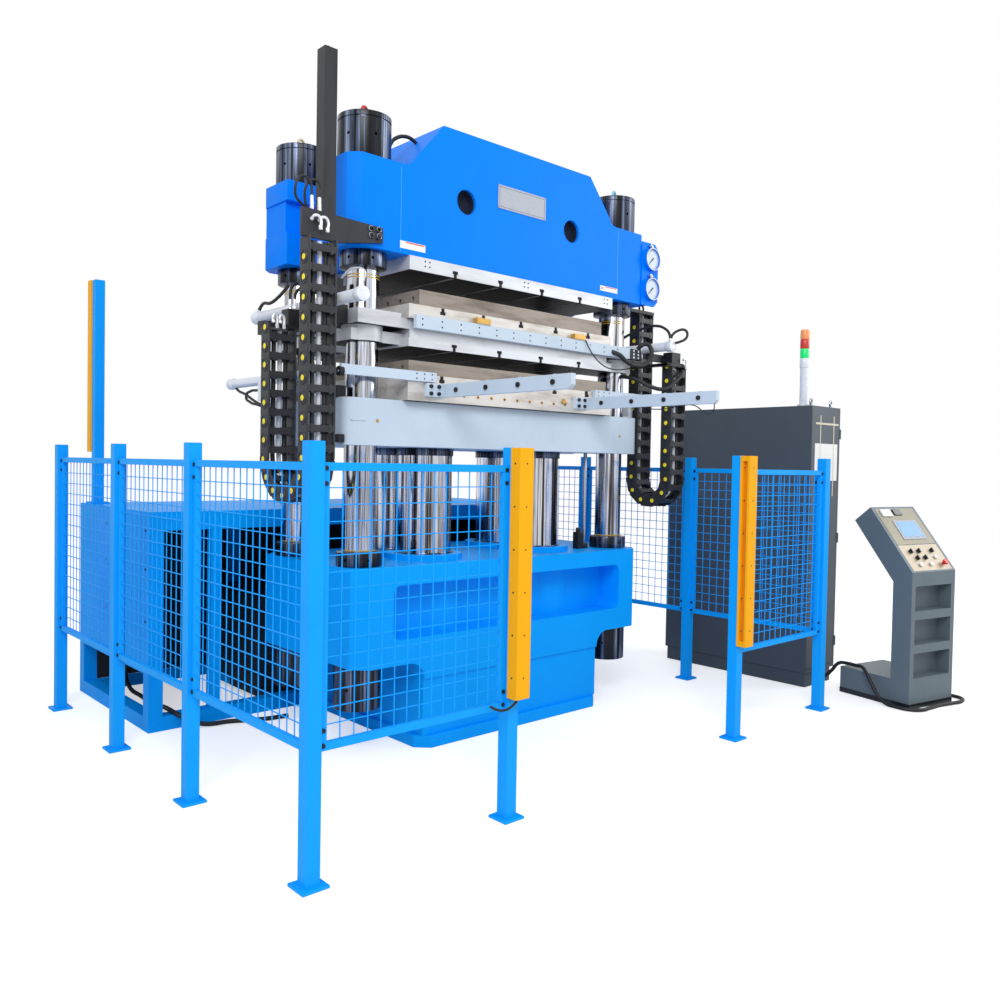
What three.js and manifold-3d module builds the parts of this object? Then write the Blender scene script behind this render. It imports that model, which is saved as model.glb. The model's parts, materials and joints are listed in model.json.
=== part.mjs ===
import * as THREE from "three";
import { mergeVertices } from "three/addons/utils/BufferGeometryUtils.js";
import Module from "manifold-3d";

// A rubber vulcanizing press of the four-column type, in millimetres: +X to the right along the front,
// +Y to the back, +Z up, origin on the floor under the centre of the press.

// General
const ROUND_SIDES = 16;
const SMALL_SIDES = 12;
const TINY_SIDES = 8;
const HEX_SIDES = 6;
const OVERRUN = 5;
const JOIN = 1;
const RUNNING_GAP = 0.4;

// Tie columns and their nuts
const COLUMN_SPREAD_X = 1962;
const COLUMN_SPREAD_Y = 646;
const COLUMN_DIAMETER = 170;
const FOOT_NUT_DIAMETER = 250;
const FOOT_NUT_HEIGHT = 226;
const RING_NUT_DIAMETER = 240;
const RING_NUT_HEIGHT = 74;
const COLLAR_DIAMETER = 245;
const COLLAR_HEIGHT = 80;
const TOP_NUT_DIAMETER = 278;
const TOP_NUT_HEIGHT = 228;
const TOP_NUT_GROOVE_DEPTH = 5;
const TOP_NUT_GROOVE_WIDTH = 8;
const TOP_NUT_GROOVE_DROP = 30;
const COLUMN_STUB_HEIGHT = 195;
const TOMMY_HOLE_DIAMETER = 16;
const TOMMY_HOLE_DEPTH = 22;
const TOMMY_HOLE_COUNT = 4;

// Base plate and lower beam
const BASE_LENGTH = 1426;
const BASE_DEPTH = 1059;
const BASE_THICKNESS = 65;
const BASE_CORNER = 70;
const PEDESTAL_LENGTH = 1366;
const PEDESTAL_DEPTH = 1000;
const PEDESTAL_FILLET = 95;
const BEAM_UNDERSIDE = 466;
const BEAM_LENGTH = 2210;
const BEAM_DEPTH = 1022;
const BEAM_HEIGHT = 510;
const BEAM_CORNER = 75;
const POCKET_LENGTH = 1776;
const POCKET_HEIGHT = 283;
const POCKET_RISE = 132;
const POCKET_DEPTH = 165;
const POCKET_CORNER = 45;
const BARREL_DIAMETER = 450;
const BOSS_HEIGHT = 30;
const POCKET_CURVE = 5;

// Rams
const RAM_SPREAD_X = 880;
const RAM_SPREAD_Y = 330;
const RAM_DIAMETER = 314;
const RAM_FLANGE_DIAMETER = 326;
const RAM_FLANGE_HEIGHT = 42;
const RAM_BORE_FLOOR = 420;
const RAM_STROKE_DOWN = 470;
const RAM_SHOW = 593;

// Crown
const CROWN_HEIGHT = 721;
const CROWN_TOP_LENGTH = 1162;
const CROWN_SHOULDER_LENGTH = 1580;
const CROWN_SHOULDER_HEIGHT = 458;
const CROWN_SHOULDER_FILLET = 45;
const CROWN_DEPTH = 947;
const SLEEVE_START = 853;
const SLEEVE_END = 1146;
const SLEEVE_DEPTH = 300;
const SLEEVE_CHAMFER = 54;
const PORT_SPREAD = 834;
const PORT_HEIGHT = 351;
const PORT_DIAMETER = 140;
const CHEEK_THICKNESS = 60;
const NAMEPLATE_LENGTH = 378;
const NAMEPLATE_HEIGHT = 132;
const NAMEPLATE_RISE = 370;
const NAMEPLATE_THICKNESS = 3;

// Hot plates and moulds
const HOT_PLATE_LENGTH = 1600;
const HOT_PLATE_DEPTH = 968;
const UPPER_HOT_PLATE_HEIGHT = 74;
const MIDDLE_HOT_PLATE_HEIGHT = 77;
const LOWER_HOT_PLATE_HEIGHT = 140;
const UPPER_DAYLIGHT = 89;
const LOWER_DAYLIGHT = 67;
const CLAMP_SLOT_COUNT = 4;
const CLAMP_SLOT_PITCH = 330;
const BED_SLOT_COUNT = 5;
const BED_SLOT_PITCH = 288;
const SLOT_NECK = 22;
const SLOT_HEAD = 38;
const SLOT_NECK_DEPTH = 20;
const SLOT_HEAD_DEPTH = 16;
const UPPER_MOULD_LENGTH = 1440;
const UPPER_MOULD_DEPTH = 930;
const UPPER_MOULD_HEIGHT = 84;
const LOWER_MOULD_LENGTH = 1560;
const LOWER_MOULD_DEPTH = 920;
const LOWER_MOULD_HEIGHT = 73;
const HEATER_BORE_DIAMETER = 22;
const HEATER_BORE_DEPTH = 60;
const HEATER_BORE_COUNT = 8;
const RUNNER_WIDTH = 20;
const RUNNER_DEPTH = 36;
const RUNNER_CLEARANCE = 2;

// Moving platen
const PLATEN_HEIGHT = 241;
const PLATEN_END = 161;
const PLATEN_DEPTH = 874;
const PLATEN_CORNER = 50;
const PLATEN_WAIST_LENGTH = 1860;
const PLATEN_WAIST_DEPTH = 280;
const BUSH_CLEARANCE = 1;

// Middle platen
const MIDDLE_FLANGE_HEIGHT = 45;
const MIDDLE_WEB_HEIGHT = 100;
const MIDDLE_WEB_INSET = 22;
const EAR_INNER = 830;
const EAR_REACH = 113;
const EAR_DEPTH = 270;
const EAR_UPPER_RISE = 92;
const EAR_UPPER_HEIGHT = 75;
const EAR_LOWER_RISE = 12;
const EAR_LOWER_HEIGHT = 60;
const EAR_LOWER_SET_BACK = 60;
const EAR_SLEEVE_DIAMETER = 215;
const CROSS_BAR_LENGTH = 1732;
const CROSS_BAR_HEIGHT = 70;
const CROSS_BAR_THICKNESS = 25;
const CROSS_BAR_SHIFT = 96;
const CROSS_BAR_RISE = 20;
const GUIDE_BLOCK_LENGTH = 95;
const GUIDE_BLOCK_HEIGHT = 32;
const GUIDE_BLOCK_DEPTH = 30;
const GUIDE_BLOCK_LEFT = -312;
const GUIDE_BLOCK_RIGHT = 470;

// Slide-out rail arms
const ARM_LENGTH = 960;
const ARM_WIDTH = 30;
const ARM_HEIGHT = 70;
const ARM_LEFT = -577;
const ARM_RIGHT = 568;
const ARM_TIP_CHAMFER = 18;
const ARM_FLANGE_LENGTH = 100;
const ARM_FLANGE_THICKNESS = 22;
const ARM_RISE = 26;
const ARM_ROLLER_COUNT = 4;
const ARM_ROLLER_DIAMETER = 40;
const ARM_ROLLER_FIRST = 140;
const ARM_ROLLER_LAST = 115;
const ARM_ROLLER_SHOW = 4;
const ARM_AXLE_DIAMETER = 24;
const ARM_AXLE_HEAD = 6;
const ARM_BOLT_DIAMETER = 20;
const ARM_BOLT_HEAD = 10;
const ARM_BOLT_SPREAD_X = 52;
const ARM_BOLT_SPREAD_Z = 38;

// Shuttle cylinders
const CYLINDER_REACH = 106;
const UPPER_CYLINDER_DIAMETER = 60;
const UPPER_CYLINDER_LENGTH = 1081;
const UPPER_CYLINDER_FRONT = -668;
const UPPER_CYLINDER_RISE = 98;
const CYLINDER_CAP_LENGTH = 45;
const CYLINDER_CAP_EXTRA = 12;
const CYLINDER_SADDLE_LENGTH = 90;
const CYLINDER_SADDLE_INSET = 28;
const LOWER_CYLINDER_REACH = 73;
const LOWER_CYLINDER_DIAMETER = 54;
const LOWER_CYLINDER_BORE = 36;
const LOWER_CYLINDER_FRONT = -400;
const LOWER_CYLINDER_LENGTH = 1090;
const LOWER_CYLINDER_RISE = 115;
const LOWER_FOOT_THICKNESS = 18;
const LOWER_FOOT_Y = 260;
const LOWER_FOOT_OVERLAP = 60;
const ROD_DIAMETER = 28;
const ROD_LENGTH = 950;
const EYE_DIAMETER = 44;
const EYE_WIDTH = 24;
const EYE_BORE = 16;
const EYE_BORE_DEPTH = 10;
const PULL_BAR_CLEARANCE = 2;
const PULL_BAR_THICKNESS = 22;
const PULL_BAR_INNER = 630;
const PULL_BAR_LINK = 60;
const PULL_BAR_RUN_GAP = 1;
const PULL_BAR_OVER = 12;

// Cable chains
const CHAIN_WIDTH = 156;
const CHAIN_HEIGHT = 86;
const CHAIN_CLEARANCE = 7;
const CHAIN_LEFT_FIXED_Y = -482;
const CHAIN_LEFT_MOVING_Y = -102;
const CHAIN_LEFT_LENGTH = 1030;
const CHAIN_RIGHT_FIXED_Y = -296;
const CHAIN_RIGHT_MOVING_Y = -581;
const CHAIN_RIGHT_LENGTH = 1138;
const CHAIN_FIXED_DROP = 19;
const CHAIN_MOVING_RISE = 65;
const CHAIN_CHEEK = 22;
const CHAIN_LINK_PITCH = 94;
const CHAIN_BAR_WIDTH = 30;
const CHAIN_BAR_THICKNESS = 12;
const CHAIN_BAR_SINK = 4;
const CHAIN_BEND_STEPS = 8;
const CHAIN_NOTCH_WIDTH = 14;
const CHAIN_NOTCH_DEPTH = 9;
const CHAIN_SHELF_THICKNESS = 20;
const CHAIN_ARM_WIDTH = 40;

// Guide mast and its bracket
const MAST_SIZE = 70;
const MAST_RISE = 55;
const MAST_HEIGHT = 870;
const MAST_LEFT = -1308;
const MAST_CAP_SIZE = 26;
const MAST_CAP_HEIGHT = 14;
const BRACKET_THICKNESS = 20;
const BRACKET_LEFT = -1430;
const BRACKET_RIGHT = -975;
const BRACKET_TALL = 135;
const BRACKET_LOW = 75;
const BRACKET_LOW_RISE = 44;
const BRACKET_BOLT_DIAMETER = 18;
const BRACKET_BOLT_HEAD = 10;
const BRACKET_BOLT_SPREAD = 38;
const BRACKET_BOLT_INSET = 48;

// Gauge plate
const GAUGE_PLATE_WIDTH = 170;
const GAUGE_PLATE_HEIGHT = 416;
const GAUGE_PLATE_THICKNESS = 8;
const GAUGE_PLATE_CORNER = 36;
const GAUGE_PLATE_FRONT = -482;
const GAUGE_FLANGE_LENGTH = 230;
const GAUGE_DIAMETER = 150;
const GAUGE_HEIGHT = 30;
const GAUGE_WALL = 7;
const GAUGE_FACE_DEPTH = 14;
const GAUGE_PITCH = 196;
const GAUGE_PIVOT_DIAMETER = 8;
const GAUGE_PIVOT_RISE = 4;
const NEEDLE_LENGTH = 56;
const NEEDLE_TAIL = 16;
const NEEDLE_WIDTH = 6;
const NEEDLE_THICKNESS = 2;
const NEEDLE_GAP = 0.3;
const NEEDLE_REST_SHARE = -0.75;

// Guard fence
const POST_SIZE = 60;
const POST_HEIGHT = 1587;
const FOOT_SIZE = 110;
const FOOT_THICKNESS = 12;
const FENCE_LEFT = -1919;
const FENCE_RIGHT = 1725;
const LEFT_POST_Y = [-1462, -436, 491, 1460];
const RIGHT_POST_Y = [-1462, -454, 553, 1500];
const FRONT_LEFT_BAY = 956;
const FRONT_RIGHT_BAY = 957;
const PANEL_BOTTOM = 480;
const PANEL_TOP = 1512;
const PANEL_RAIL = 30;
const PANEL_DEPTH = 25;
const MESH_COLUMNS = 3;
const MESH_ROWS = 3;
const MESH_WIRE = 5;
const FRONT_PANEL_GAP = 0.3;
const COVER_WIDTH = 78;
const COVER_DEPTH = 60;
const COVER_BOTTOM = 530;
const COVER_HEIGHT = 1056;
const COVER_CHANNEL_WIDTH = 30;
const COVER_CHANNEL_DEPTH = 25;

// Power unit behind the press
const UNIT_LEFT = -1700;
const UNIT_LENGTH = 3000;
const UNIT_FRONT = 645;
const UNIT_DEPTH = 1180;
const UNIT_HEIGHT = 1220;
const UNIT_TUBE = 80;
const UNIT_DECK = 25;
const UNIT_SHEET = 6;
const SHEET_BOTTOM = 320;
const UNIT_BAYS = 3;
const TANK_LENGTH = 1500;
const TANK_DEPTH = 760;
const TANK_HEIGHT = 560;
const TANK_SILL = 40;
const MOTOR_DIAMETER = 300;
const MOTOR_LENGTH = 460;
const REAR_POST_X = -1635;
const REAR_POST_Y = 1703;
const REAR_POST_HEIGHT = 1420;
const REAR_COVER_BOTTOM = 330;

// Electrical cabinet
const CABINET_LEFT = 2150;
const CABINET_FRONT = -1147;
const CABINET_WIDTH = 400;
const CABINET_LENGTH = 1200;
const CABINET_HEIGHT = 1960;
const CABINET_WALL = 30;
const PLINTH_HEIGHT = 100;
const PLINTH_INSET = 12;
const DOOR_THICKNESS = 22;
const DOOR_GAP = 3;
const DOOR_SEAT = 0.3;
const DOOR_HANDLE_LENGTH = 130;
const DOOR_HANDLE_WIDTH = 24;
const DOOR_HANDLE_DEPTH = 22;
const DOOR_HANDLE_INSET = 60;
const HINGE_HEIGHT_SHARES = [0.1, 0.5, 0.9];
const HINGE_LENGTH = 70;
const HINGE_DIAMETER = 16;
const LIGHT_X = 2215;
const LIGHT_Y = -1040;
const LIGHT_POLE_DIAMETER = 54;
const LIGHT_POLE_HEIGHT = 270;
const LIGHT_LENS_DIAMETER = 62;
const LIGHT_LENS_HEIGHT = 62;
const LIGHT_LENS_GAP = 4;
const LIGHT_BASE_DIAMETER = 80;
const LIGHT_BASE_HEIGHT = 14;
const LIGHT_LENSES = 4;
const LIGHT_SIDES = 10;

// Operator console
const CONSOLE_X = 2155;
const CONSOLE_Y = -1850;
const CONSOLE_TURN_SHARE = -12 / 180;
const CONSOLE_WIDTH = 450;
const CONSOLE_PILLAR_DEPTH = 135;
const CONSOLE_BASE_DEPTH = 520;
const CONSOLE_BASE_HEIGHT = 175;
const CONSOLE_PILLAR_HEIGHT = 875;
const CONSOLE_HEAD_RISE = 400;
const CONSOLE_HEAD_RUN = 320;
const CONSOLE_HEAD_THICKNESS = 150;
const SHELF_COUNT = 3;
const SHELF_MARGIN = 38;
const SHELF_BOTTOM = 195;
const SHELF_PITCH = 215;
const SHELF_HEIGHT = 160;
const SHELF_DEPTH = 95;
const CONTROL_SHAFT_DIAMETER = 12;
const CONTROL_SHAFT_DEPTH = 18;
const SELECTOR_DIAMETER = 30;
const SELECTOR_HEIGHT = 9;
const SELECTOR_GRIP_WIDTH = 9;
const SELECTOR_GRIP_HEIGHT = 13;
const BUTTON_DIAMETER = 28;
const BUTTON_HEIGHT = 8;
const STOP_DIAMETER = 40;
const STOP_STEM_DIAMETER = 24;
const STOP_STEM_HEIGHT = 14;
const STOP_CAP_HEIGHT = 14;
const CONTROL_TRAVEL = 5;
const CABLE_DIAMETER = 24;
const CABLE_STEPS = 52;
const CABLE_END_GAP = 2.5;
const CONTROL_SEAT = 0.5;
const CONTROL_FIT = 1;

const wasm = await Module();
wasm.setup();

const press = new THREE.Group();

function material(color, roughness, metalness) {
  return new THREE.MeshStandardMaterial({ color, roughness, metalness });
}

// Turns a closed geometry into a solid that can be joined and cut.
function solid(geometry) {
  const bare = geometry.index ? geometry.toNonIndexed() : geometry.clone();
  bare.deleteAttribute("normal");
  bare.deleteAttribute("uv");
  const merged = mergeVertices(bare, 1e-3);
  const mesh = new wasm.Mesh({
    numProp: 3,
    vertProperties: new Float32Array(merged.attributes.position.array),
    triVerts: new Uint32Array(merged.index.array),
  });
  return new wasm.Manifold(mesh);
}

function join(...solids) {
  return solids.reduce((sum, piece) => sum.add(piece));
}

function cut(body, ...tools) {
  return tools.reduce((rest, tool) => rest.subtract(tool), body);
}

function add(name, body, look) {
  const data = body.getMesh();
  const positions = new Float32Array(data.numVert * 3);
  for (let i = 0; i < data.numVert; i++) {
    positions.set(data.vertProperties.subarray(i * data.numProp, i * data.numProp + 3), i * 3);
  }
  const geometry = new THREE.BufferGeometry();
  geometry.setAttribute("position", new THREE.BufferAttribute(positions, 3));
  geometry.setIndex(new THREE.BufferAttribute(new Uint32Array(data.triVerts), 1));
  geometry.computeVertexNormals();
  const mesh = new THREE.Mesh(geometry, look);
  mesh.name = name;
  press.add(mesh);
}

// A block given by two opposite corners, in any order.
function block(x0, x1, y0, y1, z0, z1) {
  const geometry = new THREE.BoxGeometry(Math.abs(x1 - x0), Math.abs(y1 - y0), Math.abs(z1 - z0));
  geometry.translate((x0 + x1) / 2, (y0 + y1) / 2, (z0 + z1) / 2);
  return solid(geometry);
}

// An upright round bar between two heights.
function post(x, y, z0, z1, diameter, sides = ROUND_SIDES) {
  const geometry = new THREE.CylinderGeometry(diameter / 2, diameter / 2, z1 - z0, sides);
  geometry.rotateX(Math.PI / 2);
  geometry.translate(x, y, (z0 + z1) / 2);
  return solid(geometry);
}

// A round bar along Y.
function barY(x, z, y0, y1, diameter, sides = ROUND_SIDES) {
  const geometry = new THREE.CylinderGeometry(diameter / 2, diameter / 2, y1 - y0, sides);
  geometry.translate(x, (y0 + y1) / 2, z);
  return solid(geometry);
}

// A round bar along X.
function barX(y, z, x0, x1, diameter, sides = ROUND_SIDES) {
  const geometry = new THREE.CylinderGeometry(diameter / 2, diameter / 2, Math.abs(x1 - x0), sides);
  geometry.rotateZ(Math.PI / 2);
  geometry.translate((x0 + x1) / 2, y, z);
  return solid(geometry);
}

function outline(points) {
  const shape = new THREE.Shape();
  shape.moveTo(...points[0]);
  for (const point of points.slice(1)) shape.lineTo(...point);
  shape.closePath();
  return shape;
}

// An outline in X and Z pushed along Y.
function slabY(shape, y0, y1, curve = SMALL_SIDES) {
  const geometry = new THREE.ExtrudeGeometry(shape, {
    depth: y1 - y0,
    bevelEnabled: false,
    curveSegments: curve,
  });
  geometry.rotateX(Math.PI / 2);
  geometry.translate(0, y1, 0);
  return solid(geometry);
}

// An outline in X and Y pushed along Z.
function slabZ(shape, z0, z1, curve = SMALL_SIDES) {
  const geometry = new THREE.ExtrudeGeometry(shape, {
    depth: z1 - z0,
    bevelEnabled: false,
    curveSegments: curve,
  });
  geometry.translate(0, 0, z0);
  return solid(geometry);
}

// An outline in Y and Z pushed along X.
function slabX(shape, x0, x1, curve = SMALL_SIDES) {
  const geometry = new THREE.ExtrudeGeometry(shape, {
    depth: x1 - x0,
    bevelEnabled: false,
    curveSegments: curve,
  });
  geometry.rotateY(Math.PI / 2);
  geometry.rotateX(Math.PI / 2);
  geometry.translate(x0, 0, 0);
  return solid(geometry);
}

const paintBlue = material(0x1e90f0, 0.35, 0.1);
const blackSteel = material(0x24262b, 0.45, 0.6);
const chrome = material(0xc9ccd2, 0.12, 1);
const rawSteel = material(0xb8a999, 0.5, 0.7);
const paleSteel = material(0xc6cbd6, 0.4, 0.6);
const palePaint = material(0xb4bfd6, 0.4, 0.1);
const blackPlastic = material(0x17181b, 0.6, 0);
const yellowPaint = material(0xffa51e, 0.4, 0);
const cabinetGrey = material(0x50565d, 0.55, 0.1);
const whitePlastic = material(0xe6e8ea, 0.4, 0);
const redPlastic = material(0xd22a22, 0.4, 0);
const clearPlastic = material(0xf0a070, 0.2, 0);

const columnSides = [
  ["front_left", -1, -1],
  ["front_right", 1, -1],
  ["rear_left", -1, 1],
  ["rear_right", 1, 1],
];

// Heights, stacked from the floor up through the two daylights to the crown.
const beamTop = BEAM_UNDERSIDE + BEAM_HEIGHT;
const platenUnderside = beamTop + BOSS_HEIGHT + RAM_SHOW;
const platenTop = platenUnderside + PLATEN_HEIGHT;
const lowerBedTop = platenTop + LOWER_HOT_PLATE_HEIGHT;
const middleUnderside = lowerBedTop + LOWER_MOULD_HEIGHT + LOWER_DAYLIGHT;
const middleTop = middleUnderside + MIDDLE_FLANGE_HEIGHT + MIDDLE_WEB_HEIGHT;
const middleBedTop = middleTop + MIDDLE_HOT_PLATE_HEIGHT;
const upperPlateUnderside = middleBedTop + UPPER_MOULD_HEIGHT + UPPER_DAYLIGHT;
const crownUnderside = upperPlateUnderside + UPPER_HOT_PLATE_HEIGHT;
const sleeveTop = crownUnderside + CROWN_SHOULDER_HEIGHT;
const crownTop = crownUnderside + CROWN_HEIGHT;
const chainFixedTop = crownUnderside - CHAIN_FIXED_DROP;
const chainMovingTop = middleUnderside + CHAIN_MOVING_RISE;
const mastBottom = chainFixedTop + MAST_RISE;
const mastTop = mastBottom + MAST_HEIGHT;

const columnX = COLUMN_SPREAD_X / 2;
const columnY = COLUMN_SPREAD_Y / 2;
const bedFront = -HOT_PLATE_DEPTH / 2;
const platenX = columnX + PLATEN_END;
const earX = columnX + EAR_REACH;
const upperCylinderX = earX + CYLINDER_REACH;
const lowerCylinderX = platenX + LOWER_CYLINDER_REACH;
const lowerCylinderZ = platenTop + LOWER_CYLINDER_RISE;
const chainX = lowerCylinderX + (LOWER_CYLINDER_DIAMETER + CYLINDER_CAP_EXTRA) / 2 + CHAIN_CLEARANCE;

// The plate that stands on the floor, with its front corners cut off.
function addBasePlate() {
  const x = BASE_LENGTH / 2;
  const y = BASE_DEPTH / 2;
  const shape = outline([
    [-x + BASE_CORNER, -y],
    [x - BASE_CORNER, -y],
    [x, -y + BASE_CORNER],
    [x, y - BASE_CORNER],
    [x - BASE_CORNER, y],
    [-x + BASE_CORNER, y],
    [-x, y - BASE_CORNER],
    [-x, -y + BASE_CORNER],
  ]);
  add("base_plate", slabZ(shape, 0, BASE_THICKNESS), paintBlue);
}

// The side view of the beam casting: the pedestal sweeps out into the beam through two fillets.
function beamOutline() {
  const foot = PEDESTAL_LENGTH / 2;
  const half = BEAM_LENGTH / 2;
  const shape = new THREE.Shape();
  shape.moveTo(-foot, BASE_THICKNESS);
  shape.lineTo(foot, BASE_THICKNESS);
  shape.lineTo(foot, BEAM_UNDERSIDE - PEDESTAL_FILLET);
  shape.absarc(
    foot + PEDESTAL_FILLET,
    BEAM_UNDERSIDE - PEDESTAL_FILLET,
    PEDESTAL_FILLET,
    Math.PI,
    Math.PI / 2,
    true,
  );
  shape.lineTo(half, BEAM_UNDERSIDE);
  shape.lineTo(half, beamTop);
  shape.lineTo(-half, beamTop);
  shape.lineTo(-half, BEAM_UNDERSIDE);
  shape.absarc(
    -foot - PEDESTAL_FILLET,
    BEAM_UNDERSIDE - PEDESTAL_FILLET,
    PEDESTAL_FILLET,
    Math.PI / 2,
    0,
    true,
  );
  shape.closePath();
  return shape;
}

// One long pocket with round ends in the front or the back of the beam.
function pocketOutline() {
  const x = POCKET_LENGTH / 2;
  const z0 = BEAM_UNDERSIDE + POCKET_RISE;
  const z1 = z0 + POCKET_HEIGHT;
  const r = POCKET_CORNER;
  const shape = new THREE.Shape();
  shape.moveTo(-x + r, z0);
  shape.lineTo(x - r, z0);
  shape.absarc(x - r, z0 + r, r, -Math.PI / 2, 0, false);
  shape.lineTo(x, z1 - r);
  shape.absarc(x - r, z1 - r, r, 0, Math.PI / 2, false);
  shape.lineTo(-x + r, z1);
  shape.absarc(-x + r, z1 - r, r, Math.PI / 2, Math.PI, false);
  shape.lineTo(-x, z0 + r);
  shape.absarc(-x + r, z0 + r, r, Math.PI, Math.PI * 1.5, false);
  shape.closePath();
  return shape;
}

function addLowerBeam() {
  const y = BEAM_DEPTH / 2;
  const pedestalY = PEDESTAL_DEPTH / 2;
  const half = BEAM_LENGTH / 2;
  const plan = outline([
    [-half + BEAM_CORNER, -y],
    [half - BEAM_CORNER, -y],
    [half, -y + BEAM_CORNER],
    [half, y - BEAM_CORNER],
    [half - BEAM_CORNER, y],
    [-half + BEAM_CORNER, y],
    [-half, y - BEAM_CORNER],
    [-half, -y + BEAM_CORNER],
  ]);
  let body = slabY(beamOutline(), -y, y).intersect(slabZ(plan, 0, beamTop + OVERRUN));
  for (const side of [-1, 1]) {
    const trim = block(
      -half - OVERRUN,
      half + OVERRUN,
      side < 0 ? -y - OVERRUN : pedestalY,
      side < 0 ? -pedestalY : y + OVERRUN,
      BASE_THICKNESS - OVERRUN,
      BEAM_UNDERSIDE - PEDESTAL_FILLET,
    );
    const pocket = slabY(
      pocketOutline(),
      side < 0 ? -y - OVERRUN : y - POCKET_DEPTH,
      side < 0 ? -y + POCKET_DEPTH : y + OVERRUN,
      POCKET_CURVE,
    );
    body = cut(body, trim, pocket);
  }
  for (const [, sx, sy] of columnSides) {
    const ramX = (sx * RAM_SPREAD_X) / 2;
    const ramY = (sy * RAM_SPREAD_Y) / 2;
    body = body.add(post(ramX, ramY, BEAM_UNDERSIDE + JOIN, beamTop + BOSS_HEIGHT, BARREL_DIAMETER));
  }
  for (const [, sx, sy] of columnSides) {
    const ramX = (sx * RAM_SPREAD_X) / 2;
    const ramY = (sy * RAM_SPREAD_Y) / 2;
    const ramBore = RAM_DIAMETER + RUNNING_GAP * 2;
    const columnBore = COLUMN_DIAMETER + RUNNING_GAP * 2;
    body = cut(
      body,
      post(ramX, ramY, RAM_BORE_FLOOR, beamTop + BOSS_HEIGHT + OVERRUN, ramBore),
      post(sx * columnX, sy * columnY, BEAM_UNDERSIDE - OVERRUN, beamTop + OVERRUN, columnBore),
    );
  }
  add("lower_beam", body, paintBlue);
}

// A column with the foot nut, ring nut and collar that hold it in the beam and under the crown.
function addColumns() {
  for (const [name, sx, sy] of columnSides) {
    const x = sx * columnX;
    const y = sy * columnY;
    const body = join(
      post(x, y, BEAM_UNDERSIDE - FOOT_NUT_HEIGHT, sleeveTop + COLUMN_STUB_HEIGHT, COLUMN_DIAMETER),
      post(x, y, BEAM_UNDERSIDE - FOOT_NUT_HEIGHT, BEAM_UNDERSIDE, FOOT_NUT_DIAMETER),
      post(x, y, beamTop, beamTop + RING_NUT_HEIGHT, RING_NUT_DIAMETER),
      post(x, y, crownUnderside - COLLAR_HEIGHT, crownUnderside, COLLAR_DIAMETER),
    );
    add("column_" + name, body, chrome);
  }
}

// A round nut with a groove under its rim and tommy-bar holes round it.
function addTopNuts() {
  for (const [name, sx, sy] of columnSides) {
    const x = sx * columnX;
    const y = sy * columnY;
    const top = sleeveTop + TOP_NUT_HEIGHT;
    const grooveTop = top - TOP_NUT_GROOVE_DROP;
    const groove = cut(
      post(x, y, grooveTop - TOP_NUT_GROOVE_WIDTH, grooveTop, TOP_NUT_DIAMETER + OVERRUN),
      post(
        x,
        y,
        grooveTop - TOP_NUT_GROOVE_WIDTH - JOIN,
        grooveTop + JOIN,
        TOP_NUT_DIAMETER - TOP_NUT_GROOVE_DEPTH * 2,
      ),
    );
    const bore = post(
      x,
      y,
      sleeveTop - OVERRUN,
      sleeveTop + COLUMN_STUB_HEIGHT + RUNNING_GAP,
      COLUMN_DIAMETER + RUNNING_GAP * 2,
    );
    const holes = [];
    for (let i = 0; i < TOMMY_HOLE_COUNT; i++) {
      const angle = ((i + 0.5) * Math.PI * 2) / TOMMY_HOLE_COUNT;
      const reach = TOP_NUT_DIAMETER / 2;
      const radius = TOMMY_HOLE_DIAMETER / 2;
      const tool = new THREE.CylinderGeometry(radius, radius, TOMMY_HOLE_DEPTH * 2, HEX_SIDES);
      tool.rotateZ(Math.PI / 2);
      tool.rotateZ(angle);
      tool.translate(
        x + Math.cos(angle) * reach,
        y + Math.sin(angle) * reach,
        sleeveTop + TOP_NUT_HEIGHT / 2,
      );
      holes.push(solid(tool));
    }
    add(
      "top_nut_" + name,
      cut(post(x, y, sleeveTop, top, TOP_NUT_DIAMETER), bore, groove, ...holes),
      blackSteel,
    );
  }
}

// The front view of the crown without its corner sleeves.
function crownOutline() {
  const low = SLEEVE_START;
  const shoulder = CROWN_SHOULDER_LENGTH / 2;
  const top = CROWN_TOP_LENGTH / 2;
  const shape = new THREE.Shape();
  shape.moveTo(-low, crownUnderside);
  shape.lineTo(low, crownUnderside);
  shape.lineTo(low, sleeveTop);
  shape.lineTo(shoulder + CROWN_SHOULDER_FILLET, sleeveTop);
  shape.quadraticCurveTo(
    shoulder,
    sleeveTop,
    shoulder - CROWN_SHOULDER_FILLET / 2,
    sleeveTop + CROWN_SHOULDER_FILLET,
  );
  shape.lineTo(top, crownTop);
  shape.lineTo(-top, crownTop);
  shape.lineTo(-shoulder + CROWN_SHOULDER_FILLET / 2, sleeveTop + CROWN_SHOULDER_FILLET);
  shape.quadraticCurveTo(-shoulder, sleeveTop, -shoulder - CROWN_SHOULDER_FILLET, sleeveTop);
  shape.lineTo(-low, sleeveTop);
  shape.closePath();
  return shape;
}

// A corner sleeve round one column, with its outer corner cut off.
function sleeve(sx, sy) {
  const y = CROWN_DEPTH / 2;
  const shape = outline([
    [sx * (SLEEVE_START - JOIN), sy * y],
    [sx * (SLEEVE_END - SLEEVE_CHAMFER), sy * y],
    [sx * SLEEVE_END, sy * (y - SLEEVE_CHAMFER)],
    [sx * SLEEVE_END, sy * (y - SLEEVE_DEPTH)],
    [sx * (SLEEVE_START - JOIN), sy * (y - SLEEVE_DEPTH)],
  ]);
  return slabZ(shape, crownUnderside, sleeveTop);
}

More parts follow.
